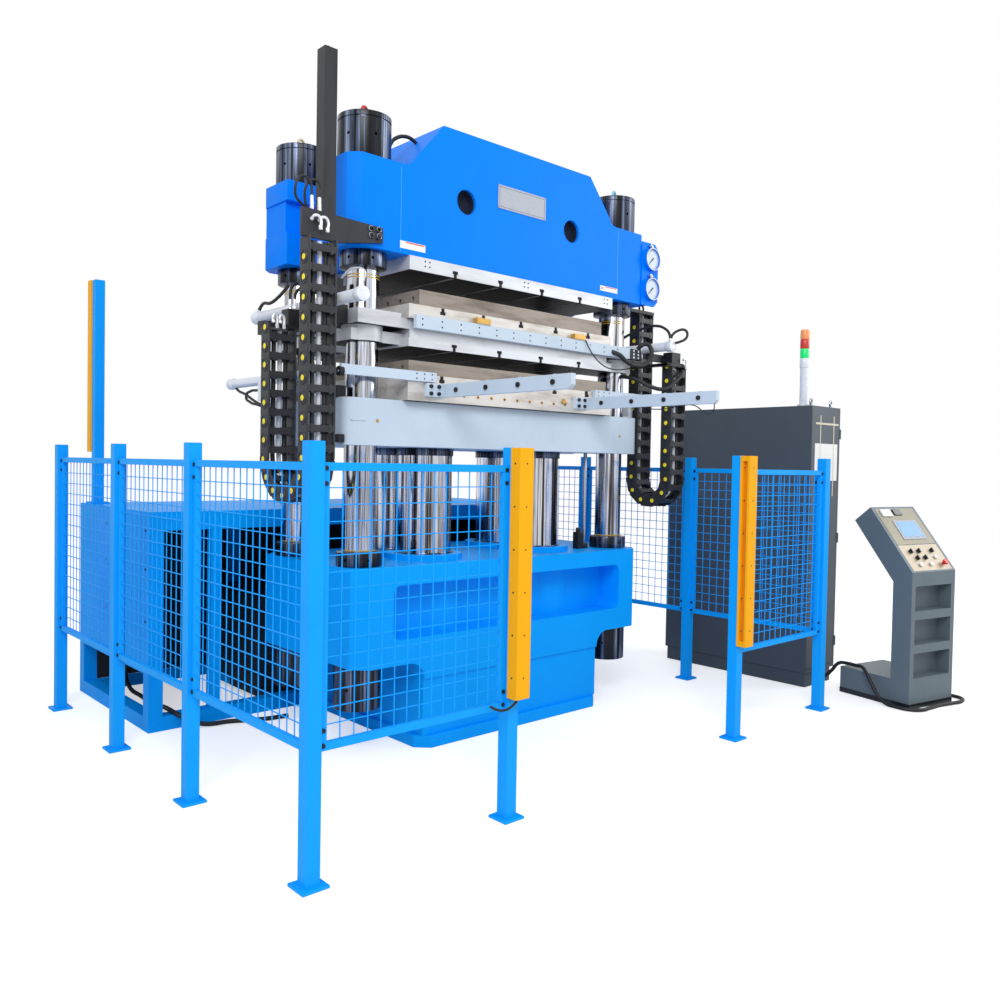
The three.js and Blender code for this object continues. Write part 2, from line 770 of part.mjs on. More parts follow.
function addCrown() {
  const y = CROWN_DEPTH / 2;
  let body = slabY(crownOutline(), -y, y, POCKET_CURVE);
  for (const [, sx, sy] of columnSides) {
    body = body.add(sleeve(sx, sy));
  }
  for (const [, sx, sy] of columnSides) {
    const bore = COLUMN_DIAMETER + RUNNING_GAP * 2;
    body = cut(
      body,
      post(sx * columnX, sy * columnY, crownUnderside - OVERRUN, sleeveTop + OVERRUN, bore),
    );
  }
  for (const side of [-1, 1]) {
    const port = barY(
      (side * PORT_SPREAD) / 2,
      crownUnderside + PORT_HEIGHT,
      -y - OVERRUN,
      y + OVERRUN,
      PORT_DIAMETER,
    );
    body = cut(body, port);
  }
  const trough = slabY(
    outline([
      [-CROWN_TOP_LENGTH / 2 + CHEEK_THICKNESS, crownUnderside + PORT_HEIGHT - PORT_DIAMETER],
      [CROWN_TOP_LENGTH / 2 - CHEEK_THICKNESS, crownUnderside + PORT_HEIGHT - PORT_DIAMETER],
      [CROWN_TOP_LENGTH / 2 - CHEEK_THICKNESS, crownTop + OVERRUN],
      [-CROWN_TOP_LENGTH / 2 + CHEEK_THICKNESS, crownTop + OVERRUN],
    ]),
    -y + CHEEK_THICKNESS,
    y - CHEEK_THICKNESS,
  );
  const plateZ = crownUnderside + NAMEPLATE_RISE;
  const nameplate = block(
    -NAMEPLATE_LENGTH / 2,
    NAMEPLATE_LENGTH / 2,
    -y - NAMEPLATE_THICKNESS,
    -y + JOIN,
    plateZ,
    plateZ + NAMEPLATE_HEIGHT,
  );
  add("crown", cut(body, trough).add(nameplate), paintBlue);
}

// The tools that cut a row of T-slots along Y into one face of a plate.
function slots(count, pitch, face, into) {
  const tools = [];
  const y = HOT_PLATE_DEPTH / 2 + OVERRUN;
  for (let i = 0; i < count; i++) {
    const x = (i - (count - 1) / 2) * pitch;
    const neckEnd = face + into * SLOT_NECK_DEPTH;
    const headEnd = neckEnd + into * SLOT_HEAD_DEPTH;
    const start = face - into * OVERRUN;
    tools.push(block(x - SLOT_NECK / 2, x + SLOT_NECK / 2, -y, y, start, neckEnd));
    tools.push(block(x - SLOT_HEAD / 2, x + SLOT_HEAD / 2, -y, y, neckEnd, headEnd));
  }
  return tools;
}

// The tools that bore the cartridge-heater holes in the left and right sides of a plate.
function heaterBores(length, depth, height) {
  const tools = [];
  for (const side of [-1, 1]) {
    for (let i = 0; i < HEATER_BORE_COUNT; i++) {
      const y = ((i + 0.5) / HEATER_BORE_COUNT - 0.5) * depth;
      const x = (side * length) / 2;
      const inner = x - side * HEATER_BORE_DEPTH;
      const outer = x + side * OVERRUN;
      tools.push(barX(y, height, inner, outer, HEATER_BORE_DIAMETER, HEX_SIDES));
    }
  }
  return tools;
}

function bed(length, depth, z0, z1) {
  return block(-length / 2, length / 2, -depth / 2, depth / 2, z0, z1);
}

function addHotPlates() {
  const upper = upperPlateUnderside;
  const upperPlate = cut(
    bed(HOT_PLATE_LENGTH, HOT_PLATE_DEPTH, upper, crownUnderside),
    ...slots(CLAMP_SLOT_COUNT, CLAMP_SLOT_PITCH, upper, 1),
  );
  add("upper_hot_plate", upperPlate, paleSteel);
  const middlePlate = cut(
    bed(HOT_PLATE_LENGTH, HOT_PLATE_DEPTH, middleTop, middleBedTop),
    ...slots(BED_SLOT_COUNT, BED_SLOT_PITCH, middleBedTop, -1),
  );
  add("middle_hot_plate", middlePlate, rawSteel);
  const lowerPlate = cut(
    bed(HOT_PLATE_LENGTH, HOT_PLATE_DEPTH, platenTop, lowerBedTop),
    ...slots(BED_SLOT_COUNT, BED_SLOT_PITCH, lowerBedTop, -1),
    ...runners(RUNNER_CLEARANCE, OVERRUN),
  );
  add("lower_hot_plate", lowerPlate, rawSteel);
}

// The two runners under the lower mould, or the grooves that they slide in when an allowance is given.
function runners(allowance, overrun) {
  const y = LOWER_MOULD_DEPTH / 2;
  const reach = overrun ? HOT_PLATE_DEPTH / 2 + overrun : y;
  return [ARM_LEFT, ARM_RIGHT].map((x) =>
    block(
      x - RUNNER_WIDTH / 2 - allowance,
      x + RUNNER_WIDTH / 2 + allowance,
      -reach,
      reach,
      lowerBedTop - RUNNER_DEPTH - allowance,
      lowerBedTop + (overrun || JOIN),
    ),
  );
}

function addMoulds() {
  const upper = cut(
    bed(UPPER_MOULD_LENGTH, UPPER_MOULD_DEPTH, middleBedTop, middleBedTop + UPPER_MOULD_HEIGHT),
    ...heaterBores(UPPER_MOULD_LENGTH, UPPER_MOULD_DEPTH, middleBedTop + UPPER_MOULD_HEIGHT / 2),
  );
  add("upper_mould", upper, rawSteel);
  const lower = cut(
    join(
      bed(LOWER_MOULD_LENGTH, LOWER_MOULD_DEPTH, lowerBedTop, lowerBedTop + LOWER_MOULD_HEIGHT),
      ...runners(0, 0),
    ),
    ...heaterBores(LOWER_MOULD_LENGTH, LOWER_MOULD_DEPTH, lowerBedTop + LOWER_MOULD_HEIGHT / 2),
  );
  add("lower_mould", lower, rawSteel);
}

function addRams() {
  for (const [name, sx, sy] of columnSides) {
    const x = (sx * RAM_SPREAD_X) / 2;
    const y = (sy * RAM_SPREAD_Y) / 2;
    const body = join(
      post(x, y, RAM_BORE_FLOOR + RAM_STROKE_DOWN, platenUnderside, RAM_DIAMETER),
      post(x, y, platenUnderside - RAM_FLANGE_HEIGHT, platenUnderside, RAM_FLANGE_DIAMETER),
    );
    add("ram_" + name, body, chrome);
  }
}

// The moving platen, waisted between the two columns on each side.
function addMovingPlaten() {
  const x = platenX;
  const y = PLATEN_DEPTH / 2;
  const waist = PLATEN_WAIST_LENGTH / 2;
  const half = PLATEN_WAIST_DEPTH / 2;
  const r = PLATEN_CORNER;
  const shape = new THREE.Shape();
  shape.moveTo(-x + r, -y);
  shape.lineTo(x - r, -y);
  shape.absarc(x - r, -y + r, r, -Math.PI / 2, 0, false);
  shape.lineTo(x, -half);
  shape.lineTo(waist, -half);
  shape.lineTo(waist, half);
  shape.lineTo(x, half);
  shape.lineTo(x, y - r);
  shape.absarc(x - r, y - r, r, 0, Math.PI / 2, false);
  shape.lineTo(-x + r, y);
  shape.absarc(-x + r, y - r, r, Math.PI / 2, Math.PI, false);
  shape.lineTo(-x, half);
  shape.lineTo(-waist, half);
  shape.lineTo(-waist, -half);
  shape.lineTo(-x, -half);
  shape.lineTo(-x, -y + r);
  shape.absarc(-x + r, -y + r, r, Math.PI, Math.PI * 1.5, false);
  shape.closePath();
  let body = slabZ(shape, platenUnderside, platenTop, POCKET_CURVE);
  for (const [, sx, sy] of columnSides) {
    const bore = COLUMN_DIAMETER + BUSH_CLEARANCE * 2;
    body = cut(
      body,
      post(sx * columnX, sy * columnY, platenUnderside - OVERRUN, platenTop + OVERRUN, bore),
    );
  }
  add("moving_platen", body, palePaint);
}

// The floating platen: a slotted flange below, a set-back web above and two split guide blocks at
// each column.
function addMiddlePlaten() {
  const flangeTop = middleUnderside + MIDDLE_FLANGE_HEIGHT;
  let body = cut(
    bed(HOT_PLATE_LENGTH, HOT_PLATE_DEPTH, middleUnderside, flangeTop),
    ...slots(CLAMP_SLOT_COUNT, CLAMP_SLOT_PITCH, middleUnderside, 1),
  );
  const webLength = HOT_PLATE_LENGTH - MIDDLE_WEB_INSET * 2;
  const webDepth = HOT_PLATE_DEPTH - MIDDLE_WEB_INSET * 2;
  body = body.add(bed(webLength, webDepth, flangeTop - JOIN, middleTop));
  const rootInner = webLength / 2 - JOIN;
  for (const [, sx, sy] of columnSides) {
    for (const [innerX, outerX, setBack, rise, height] of [
      [EAR_INNER, earX, 0, EAR_UPPER_RISE, EAR_UPPER_HEIGHT],
      [
        rootInner,
        EAR_INNER + JOIN,
        0,
        EAR_UPPER_RISE,
        MIDDLE_FLANGE_HEIGHT + MIDDLE_WEB_HEIGHT - EAR_UPPER_RISE,
      ],
      [rootInner, earX, EAR_LOWER_SET_BACK, EAR_LOWER_RISE, EAR_LOWER_HEIGHT],
    ]) {
      const z0 = middleUnderside + rise;
      const inner = sx * innerX;
      const outer = sx * outerX;
      const y0 = sy * (columnY - setBack) - EAR_DEPTH / 2;
      const y1 = sy * (columnY - setBack) + EAR_DEPTH / 2;
      body = body.add(block(inner, outer, y0, y1, z0, z0 + height));
    }
    const between = post(
      sx * columnX,
      sy * columnY,
      middleUnderside + EAR_LOWER_RISE,
      middleUnderside + EAR_UPPER_RISE + EAR_UPPER_HEIGHT,
      EAR_SLEEVE_DIAMETER,
    );
    body = body.add(between);
  }
  for (const [, sx, sy] of columnSides) {
    const bore = COLUMN_DIAMETER + BUSH_CLEARANCE * 2;
    body = cut(
      body,
      post(
        sx * columnX,
        sy * columnY,
        middleUnderside - OVERRUN,
        middleTop + UPPER_MOULD_HEIGHT,
        bore,
      ),
    );
  }
  add("middle_platen", body, paleSteel);
}

// The drilled bar across the front of the middle hot plate, with the two guide blocks on it.
function addCrossBar() {
  const front = bedFront - CROSS_BAR_THICKNESS;
  const top = middleTop + CROSS_BAR_RISE;
  const left = -CROSS_BAR_LENGTH / 2 + CROSS_BAR_SHIFT;
  let body = block(left, left + CROSS_BAR_LENGTH, front, bedFront, top - CROSS_BAR_HEIGHT, top);
  for (const x of [GUIDE_BLOCK_LEFT, GUIDE_BLOCK_RIGHT]) {
    const z = top - JOIN;
    body = body.add(
      block(
        x - GUIDE_BLOCK_LENGTH / 2,
        x + GUIDE_BLOCK_LENGTH / 2,
        bedFront - GUIDE_BLOCK_DEPTH,
        bedFront,
        z,
        z + GUIDE_BLOCK_HEIGHT,
      ),
    );
  }
  add("cross_bar", body, palePaint);
}

// A rail arm with its bolted flange, its roller tops and the heads of the roller axles.
function addRailArms() {
  const root = bedFront;
  const z0 = platenTop + ARM_RISE;
  const z1 = z0 + ARM_HEIGHT;
  const rollerPitch = (ARM_LENGTH - ARM_ROLLER_FIRST - ARM_ROLLER_LAST) / (ARM_ROLLER_COUNT - 1);
  for (const [name, x] of [
    ["left", ARM_LEFT],
    ["right", ARM_RIGHT],
  ]) {
    const x0 = x - ARM_WIDTH / 2;
    const x1 = x + ARM_WIDTH / 2;
    const tip = root - ARM_LENGTH;
    const side = outline([
      [root, z0],
      [root, z1],
      [tip, z1],
      [tip, z0 + ARM_TIP_CHAMFER],
      [tip + ARM_TIP_CHAMFER, z0],
    ]);
    let body = slabX(side, x0, x1);
    body = body.add(block(
      x0 - ARM_FLANGE_LENGTH,
      x0 + JOIN,
      root - ARM_FLANGE_THICKNESS,
      root,
      z0,
      z1,
    ));
    for (const dx of [-1, 1]) {
      for (const dz of [-1, 1]) {
        const boltX = x0 - ARM_FLANGE_LENGTH / 2 + (dx * ARM_BOLT_SPREAD_X) / 2;
        const boltZ = (z0 + z1) / 2 + (dz * ARM_BOLT_SPREAD_Z) / 2;
        const face = root - ARM_FLANGE_THICKNESS;
        body = body.add(barY(
          boltX,
          boltZ,
          face - ARM_BOLT_HEAD,
          face + JOIN,
          ARM_BOLT_DIAMETER,
          TINY_SIDES,
        ));
      }
    }
    for (let i = 0; i < ARM_ROLLER_COUNT; i++) {
      const y = root - ARM_ROLLER_FIRST - i * rollerPitch;
      const z = z1 + ARM_ROLLER_SHOW - ARM_ROLLER_DIAMETER / 2;
      body = body.add(barX(
        y,
        z,
        x0 + ARM_AXLE_HEAD,
        x1 - ARM_AXLE_HEAD,
        ARM_ROLLER_DIAMETER,
        SMALL_SIDES,
      ));
      body = body.add(barX(
        y,
        (z0 + z1) / 2,
        x0 - ARM_AXLE_HEAD,
        x0 + JOIN,
        ARM_AXLE_DIAMETER,
        TINY_SIDES,
      ));
    }
    add("rail_arm_" + name, body, palePaint);
  }
}

// A long cylinder held on a saddle against the guide blocks of the middle platen.
function addUpperCylinders() {
  for (const [name, sx] of [
    ["left", -1],
    ["right", 1],
  ]) {
    const x = sx * upperCylinderX;
    const front = UPPER_CYLINDER_FRONT;
    const back = front + UPPER_CYLINDER_LENGTH;
    const z = middleUnderside + EAR_UPPER_RISE + UPPER_CYLINDER_RISE;
    const cap = UPPER_CYLINDER_DIAMETER + CYLINDER_CAP_EXTRA;
    const inner = sx * earX;
    const outer = sx * (upperCylinderX + UPPER_CYLINDER_DIAMETER / 2 - CYLINDER_SADDLE_INSET / 2);
    let body = join(
      barY(x, z, front, back, UPPER_CYLINDER_DIAMETER, SMALL_SIDES),
      barY(x, z, front, front + CYLINDER_CAP_LENGTH, cap, SMALL_SIDES),
      barY(x, z, back - CYLINDER_CAP_LENGTH, back, cap, SMALL_SIDES),
    );
    for (const sy of [-1, 1]) {
      const y = sy * columnY;
      const saddleBottom = middleUnderside + EAR_UPPER_RISE;
      body = body.add(
        block(
          inner,
          outer,
          y - CYLINDER_SADDLE_LENGTH / 2,
          y + CYLINDER_SADDLE_LENGTH / 2,
          saddleBottom,
          z,
        ),
      );
    }
    const shelfY0 = chainPath(sx).movingY - CHAIN_HEIGHT / 2;
    const shelfY1 = chainPath(sx).movingY + CHAIN_HEIGHT / 2;
    const saddleY = -columnY;
    const shelfInner = sx * upperCylinderX;
    const shelfOuter = sx * (chainX + CHAIN_WIDTH);
    const armOuter = shelfInner + sx * CHAIN_ARM_WIDTH;
    const shelfZ = chainMovingTop;
    const saddle0 = saddleY - CYLINDER_SADDLE_LENGTH / 2;
    const saddle1 = saddleY + CYLINDER_SADDLE_LENGTH / 2;
    const top = shelfZ + CHAIN_SHELF_THICKNESS;
    body = join(
      body,
      block(shelfInner, shelfOuter, shelfY0, shelfY1, shelfZ, top),
      block(shelfInner, armOuter, Math.min(shelfY0, saddle0), Math.max(shelfY1, saddle1), shelfZ, top),
      block(shelfInner, armOuter, saddle0, saddle1, shelfZ, z),
    );
    add("upper_cylinder_" + name, body, paleSteel);
  }
}

// The cylinder beside the moving platen that slides the lower mould out over the rail arms.
function addLowerCylinders() {
  for (const [name, sx] of [
    ["left", -1],
    ["right", 1],
  ]) {
    const x = sx * lowerCylinderX;
    const z = lowerCylinderZ;
    const front = LOWER_CYLINDER_FRONT;
    const back = front + LOWER_CYLINDER_LENGTH;
    const cap = LOWER_CYLINDER_DIAMETER + CYLINDER_CAP_EXTRA;
    const inner = sx * (platenX - LOWER_FOOT_OVERLAP);
    const outer = sx * (lowerCylinderX + LOWER_CYLINDER_DIAMETER / 2);
    let body = join(
      barY(x, z, front, back, LOWER_CYLINDER_DIAMETER, SMALL_SIDES),
      barY(x, z, front, front + CYLINDER_CAP_LENGTH, cap, SMALL_SIDES),
      barY(x, z, back - CYLINDER_CAP_LENGTH, back, cap, SMALL_SIDES),
    );
    for (const sy of [-1, 1]) {
      const y = sy * LOWER_FOOT_Y;
      body = body.add(
        block(
          inner,
          outer,
          y - CYLINDER_SADDLE_LENGTH / 2,
          y + CYLINDER_SADDLE_LENGTH / 2,
          platenTop,
          platenTop + LOWER_FOOT_THICKNESS,
        ),
      );
      const web0 = sx * (lowerCylinderX - LOWER_CYLINDER_DIAMETER / 2 + CYLINDER_CAP_EXTRA);
      body = body.add(
        block(
          web0,
          outer,
          y - CYLINDER_SADDLE_LENGTH / 2,
          y + CYLINDER_SADDLE_LENGTH / 2,
          platenTop,
          z,
        ),
      );
    }
    const bore = barY(
      x,
      z,
      front - OVERRUN,
      back - CYLINDER_CAP_LENGTH / 2,
      LOWER_CYLINDER_BORE,
      SMALL_SIDES,
    );
    add("lower_cylinder_" + name, cut(body, bore), paleSteel);
  }
}

// The pull bar bolted to the mould, with the rod end and the rod that runs back into the cylinder.
function addPullBars() {
  const z = lowerCylinderZ;
  const front = bedFront - PULL_BAR_THICKNESS;
  const mouldFront = -LOWER_MOULD_DEPTH / 2;
  for (const [name, sx] of [
    ["left", -1],
    ["right", 1],
  ]) {
    const x = sx * lowerCylinderX;
    const inner = sx * PULL_BAR_INNER;
    const barBottom = platenTop + ARM_RISE + ARM_HEIGHT + ARM_ROLLER_SHOW + PULL_BAR_CLEARANCE;
    const barTop = lowerBedTop + PULL_BAR_OVER;
    const linkInner = sx * (LOWER_MOULD_LENGTH / 2 - PULL_BAR_LINK);
    let body = join(
      block(inner, x, front, bedFront - PULL_BAR_RUN_GAP, barBottom, barTop),
      block(
        inner,
        linkInner,
        bedFront - PULL_BAR_RUN_GAP - JOIN,
        mouldFront,
        lowerBedTop + RUNNING_GAP,
        barTop,
      ),
      barX((front + bedFront) / 2, z, x - EYE_WIDTH / 2, x + EYE_WIDTH / 2, EYE_DIAMETER, SMALL_SIDES),
      barY(x, z, front, front + ROD_LENGTH, ROD_DIAMETER, SMALL_SIDES),
    );
    const boreEnd = x + sx * (EYE_WIDTH / 2 - EYE_BORE_DEPTH);
    const boreMouth = x + sx * (EYE_WIDTH / 2 + OVERRUN);
    const eyeBore = barX((front + bedFront) / 2, z, boreEnd, boreMouth, EYE_BORE, TINY_SIDES);
    body = cut(body, eyeBore);
    add("pull_bar_" + name, body, palePaint);
  }
}

// A cable chain hung in a U, as two cheeks with a bar across each link inside and outside the bend.
function chainPath(sx) {
  const fixedY = sx < 0 ? CHAIN_LEFT_FIXED_Y : CHAIN_RIGHT_FIXED_Y;
  const movingY = sx < 0 ? CHAIN_LEFT_MOVING_Y : CHAIN_RIGHT_MOVING_Y;
  const bendZ = chainFixedTop - (sx < 0 ? CHAIN_LEFT_LENGTH : CHAIN_RIGHT_LENGTH);
  return { fixedY, movingY, bendZ, middleY: (fixedY + movingY) / 2, radius: Math.abs(movingY - fixedY) / 2 };
}

function bendLinkCount(radius) {
  return Math.round((Math.PI * radius) / CHAIN_LINK_PITCH);
}

// The side view of the chain, with a notch between every two links on the outside, where they open
// in the bend.
function chainOutline(sx) {
  const { fixedY, movingY, bendZ, middleY, radius } = chainPath(sx);
  const half = CHAIN_HEIGHT / 2;
  const turn = Math.sign(movingY - fixedY);
  const shape = new THREE.Shape();
  const start = turn > 0 ? Math.PI : 0;
  const end = turn > 0 ? 0 : Math.PI;
  shape.moveTo(fixedY - turn * half, chainFixedTop);
  for (let z = chainFixedTop - CHAIN_LINK_PITCH; z > bendZ + CHAIN_NOTCH_WIDTH; z -= CHAIN_LINK_PITCH) {
    shape.lineTo(fixedY - turn * half, z + CHAIN_NOTCH_WIDTH / 2);
    shape.lineTo(fixedY - turn * (half - CHAIN_NOTCH_DEPTH), z);
    shape.lineTo(fixedY - turn * half, z - CHAIN_NOTCH_WIDTH / 2);
  }
  shape.lineTo(fixedY - turn * half, bendZ);
  const links = bendLinkCount(radius);
  const notchAngle = CHAIN_NOTCH_WIDTH / 2 / (radius + half);
  const bendPoint = (angle, inset) => {
    const reach = radius + half - inset;
    shape.lineTo(middleY - turn * Math.cos(angle) * reach, bendZ - Math.sin(angle) * reach);
  };
  for (let i = 0; i < links; i++) {
    const joint = (Math.PI * (i + 1)) / links;
    bendPoint((Math.PI * (i + 0.5)) / links, 0);
    if (i === links - 1) break;
    bendPoint(joint - notchAngle, 0);
    bendPoint(joint, CHAIN_NOTCH_DEPTH);
    bendPoint(joint + notchAngle, 0);
  }
  const outer = movingY + turn * half;
  shape.lineTo(outer, bendZ);
  const straight = Math.floor((chainMovingTop - bendZ) / CHAIN_LINK_PITCH);
  for (let i = straight; i > 0; i--) {
    const z = chainMovingTop - i * CHAIN_LINK_PITCH;
    if (z < bendZ + CHAIN_NOTCH_WIDTH) continue;
    shape.lineTo(outer, z - CHAIN_NOTCH_WIDTH / 2);
    shape.lineTo(movingY + turn * (half - CHAIN_NOTCH_DEPTH), z);
    shape.lineTo(outer, z + CHAIN_NOTCH_WIDTH / 2);
  }
  shape.lineTo(outer, chainMovingTop);
  shape.lineTo(movingY - turn * half, chainMovingTop);
  shape.lineTo(movingY - turn * half, bendZ);
  shape.absarc(middleY, bendZ, radius - half, end, start, turn > 0);
  shape.lineTo(fixedY + turn * half, chainFixedTop);
  shape.closePath();
  return shape;
}

function addChains() {
  for (const [name, sx] of [
    ["left", -1],
    ["right", 1],
  ]) {
    const { fixedY, movingY, bendZ, middleY, radius } = chainPath(sx);
    const x0 = Math.min(sx * chainX, sx * (chainX + CHAIN_WIDTH));
    const x1 = x0 + CHAIN_WIDTH;
    const shape = chainOutline(sx);
    let body = join(
      slabX(shape, x0, x0 + CHAIN_CHEEK, CHAIN_BEND_STEPS),
      slabX(shape, x1 - CHAIN_CHEEK, x1, CHAIN_BEND_STEPS),
    );
    const bars = [];
    const inset = CHAIN_HEIGHT / 2 - CHAIN_BAR_THICKNESS / 2 - CHAIN_BAR_SINK;
    const bar = (y, z, angle) => {
      for (const side of [-1, 1]) {
        const geometry = new THREE.BoxGeometry(
          CHAIN_WIDTH - CHAIN_CHEEK,
          CHAIN_BAR_THICKNESS,
          CHAIN_BAR_WIDTH,
        );
        geometry.translate(0, side * inset, 0);
        geometry.rotateX(angle);
        geometry.translate((x0 + x1) / 2, y, z);
        bars.push(solid(geometry));
      }
    };
    for (let z = chainFixedTop - CHAIN_LINK_PITCH / 2; z > bendZ; z -= CHAIN_LINK_PITCH) bar(
      fixedY,
      z,
      0,
    );
    for (let z = chainMovingTop - CHAIN_LINK_PITCH / 2; z > bendZ; z -= CHAIN_LINK_PITCH) bar(
      movingY,
      z,
      0,
    );
    const bendLinks = bendLinkCount(radius);
    for (let i = 0; i < bendLinks; i++) {
      const angle = (Math.PI * (i + 0.5)) / bendLinks;
      const y = middleY - Math.cos(angle) * radius;
      const z = bendZ - Math.sin(angle) * radius;
      bar(y, z, angle);
    }
    add("cable_chain_" + name, join(body, ...bars), blackPlastic);
  }
}

// The square mast and the tapered bar that carries it and the fixed end of the left chain.
function addGuideMast() {
  const face = -CROWN_DEPTH / 2;
  const barFront = face - BRACKET_THICKNESS;
  const z0 = chainFixedTop;
  const lowZ = z0 + BRACKET_LOW_RISE;
  const shape = outline([
    [BRACKET_LEFT, z0],
    [MAST_LEFT + MAST_SIZE, z0],
    [BRACKET_RIGHT, lowZ],
    [BRACKET_RIGHT, lowZ + BRACKET_LOW],
    [BRACKET_LEFT, z0 + BRACKET_TALL],
  ]);
  const mast = block(
    MAST_LEFT,
    MAST_LEFT + MAST_SIZE,
    face - JOIN,
    face + MAST_SIZE,
    mastBottom,
    mastTop,
  );
  const capX = MAST_LEFT + MAST_SIZE / 2;
  const capY = face + MAST_SIZE / 2;
  let body = join(
    slabY(shape, barFront, face),
    mast,
    post(capX, capY, mastTop - JOIN, mastTop + MAST_CAP_HEIGHT, MAST_CAP_SIZE, SMALL_SIDES),
  );
  for (const dx of [-1, 1]) {
    for (const dz of [-1, 1]) {
      const x = BRACKET_RIGHT - BRACKET_BOLT_INSET + (dx * BRACKET_BOLT_SPREAD) / 2;
      const z = lowZ + BRACKET_LOW / 2 + (dz * BRACKET_BOLT_SPREAD) / 2;
      body = body.add(barY(
        x,
        z,
        barFront - BRACKET_BOLT_HEAD,
        barFront + JOIN,
        BRACKET_BOLT_DIAMETER,
        TINY_SIDES,
      ));
    }
  }
  add("guide_mast", body, blackSteel);
}

const gaugePlateX = SLEEVE_END - SLEEVE_CHAMFER;
const gaugeX = gaugePlateX + GAUGE_PLATE_WIDTH / 2;
const gaugeMiddle = crownUnderside + GAUGE_PLATE_HEIGHT / 2;

// The plate before the chamfer of the right sleeve, with two open-faced gauge cases, the flange that
// fixes it to the sleeve's end and the shelf that holds the right chain.
function addGaugePlate() {
  const x0 = gaugePlateX;
  const x1 = x0 + GAUGE_PLATE_WIDTH;
  const flangeEnd = SLEEVE_END + GAUGE_PLATE_THICKNESS;
  const z0 = crownUnderside;
  const z1 = z0 + GAUGE_PLATE_HEIGHT;
  const c = GAUGE_PLATE_CORNER;
  const hangerX = flangeEnd - JOIN;
  const hangerY0 = CHAIN_RIGHT_FIXED_Y - CHAIN_HEIGHT / 2;
  const hangerY1 = CHAIN_RIGHT_FIXED_Y + CHAIN_HEIGHT / 2;
  const front = GAUGE_PLATE_FRONT;
  const back = front + GAUGE_PLATE_THICKNESS;
  const shape = outline([
    [x0, z0],
    [x1 - c, z0],
    [x1, z0 + c],
    [x1, z1 - c],
    [x1 - c, z1],
    [x0, z1],
  ]);
  let body = join(
    slabY(shape, front, back),
    block(SLEEVE_END, flangeEnd, front, front + GAUGE_FLANGE_LENGTH, z0, z1),
    block(hangerX, hangerX + GAUGE_PLATE_THICKNESS, hangerY0, hangerY1, chainFixedTop, z1),
    block(
      hangerX,
      chainX + CHAIN_WIDTH,
      hangerY0,
      hangerY1,
      chainFixedTop,
      chainFixedTop + CHAIN_SHELF_THICKNESS,
    ),
  );
  for (const side of [-1, 1]) {
    const z = gaugeMiddle + (side * GAUGE_PITCH) / 2;
    const caseFront = front - GAUGE_HEIGHT;
    body = cut(
      body.add(barY(gaugeX, z, caseFront, front + JOIN, GAUGE_DIAMETER)),
      barY(
        gaugeX,
        z,
        caseFront - OVERRUN,
        caseFront + GAUGE_FACE_DEPTH,
        GAUGE_DIAMETER - GAUGE_WALL * 2,
      ),
    );
    const face = caseFront + GAUGE_FACE_DEPTH;
    body = body.add(barY(
      gaugeX,
      z,
      face - GAUGE_PIVOT_RISE,
      face + JOIN,
      GAUGE_PIVOT_DIAMETER,
      TINY_SIDES,
    ));
  }
  add("gauge_plate", body, paintBlue);
}

function addGaugeNeedles() {
  const face = GAUGE_PLATE_FRONT - GAUGE_HEIGHT + GAUGE_FACE_DEPTH;
  const back = face - GAUGE_PIVOT_RISE - NEEDLE_GAP;
  const shape = outline([
    [-NEEDLE_TAIL, -NEEDLE_WIDTH / 2],
    [0, -NEEDLE_WIDTH / 2],
    [NEEDLE_LENGTH, -NEEDLE_WIDTH / 8],
    [NEEDLE_LENGTH, NEEDLE_WIDTH / 8],
    [0, NEEDLE_WIDTH / 2],
    [-NEEDLE_TAIL, NEEDLE_WIDTH / 2],
  ]);
  for (const [name, side] of [
    ["upper", 1],
    ["lower", -1],
  ]) {
    const geometry = new THREE.ExtrudeGeometry(shape, { depth: NEEDLE_THICKNESS, bevelEnabled: false });
    geometry.rotateZ(Math.PI * NEEDLE_REST_SHARE);
    geometry.rotateX(Math.PI / 2);
    geometry.translate(gaugeX, back, gaugeMiddle + (side * GAUGE_PITCH) / 2);
    add("gauge_needle_" + name, solid(geometry), blackSteel);
  }
}

function fencePost(x, y) {
  return join(
    block(x - POST_SIZE / 2, x + POST_SIZE / 2, y - POST_SIZE / 2, y + POST_SIZE / 2, 0, POST_HEIGHT),
    block(
      x - FOOT_SIZE / 2,
      x + FOOT_SIZE / 2,
      y - FOOT_SIZE / 2,
      y + FOOT_SIZE / 2,
      0,
      FOOT_THICKNESS,
    ),
  );
}

// One straight wire of the mesh, lying in the plane of the panel.
function wire(x0, x1, y0, y1) {
  return block(x0, x1, y0, y1, -MESH_WIRE / 2, MESH_WIRE / 2);
}

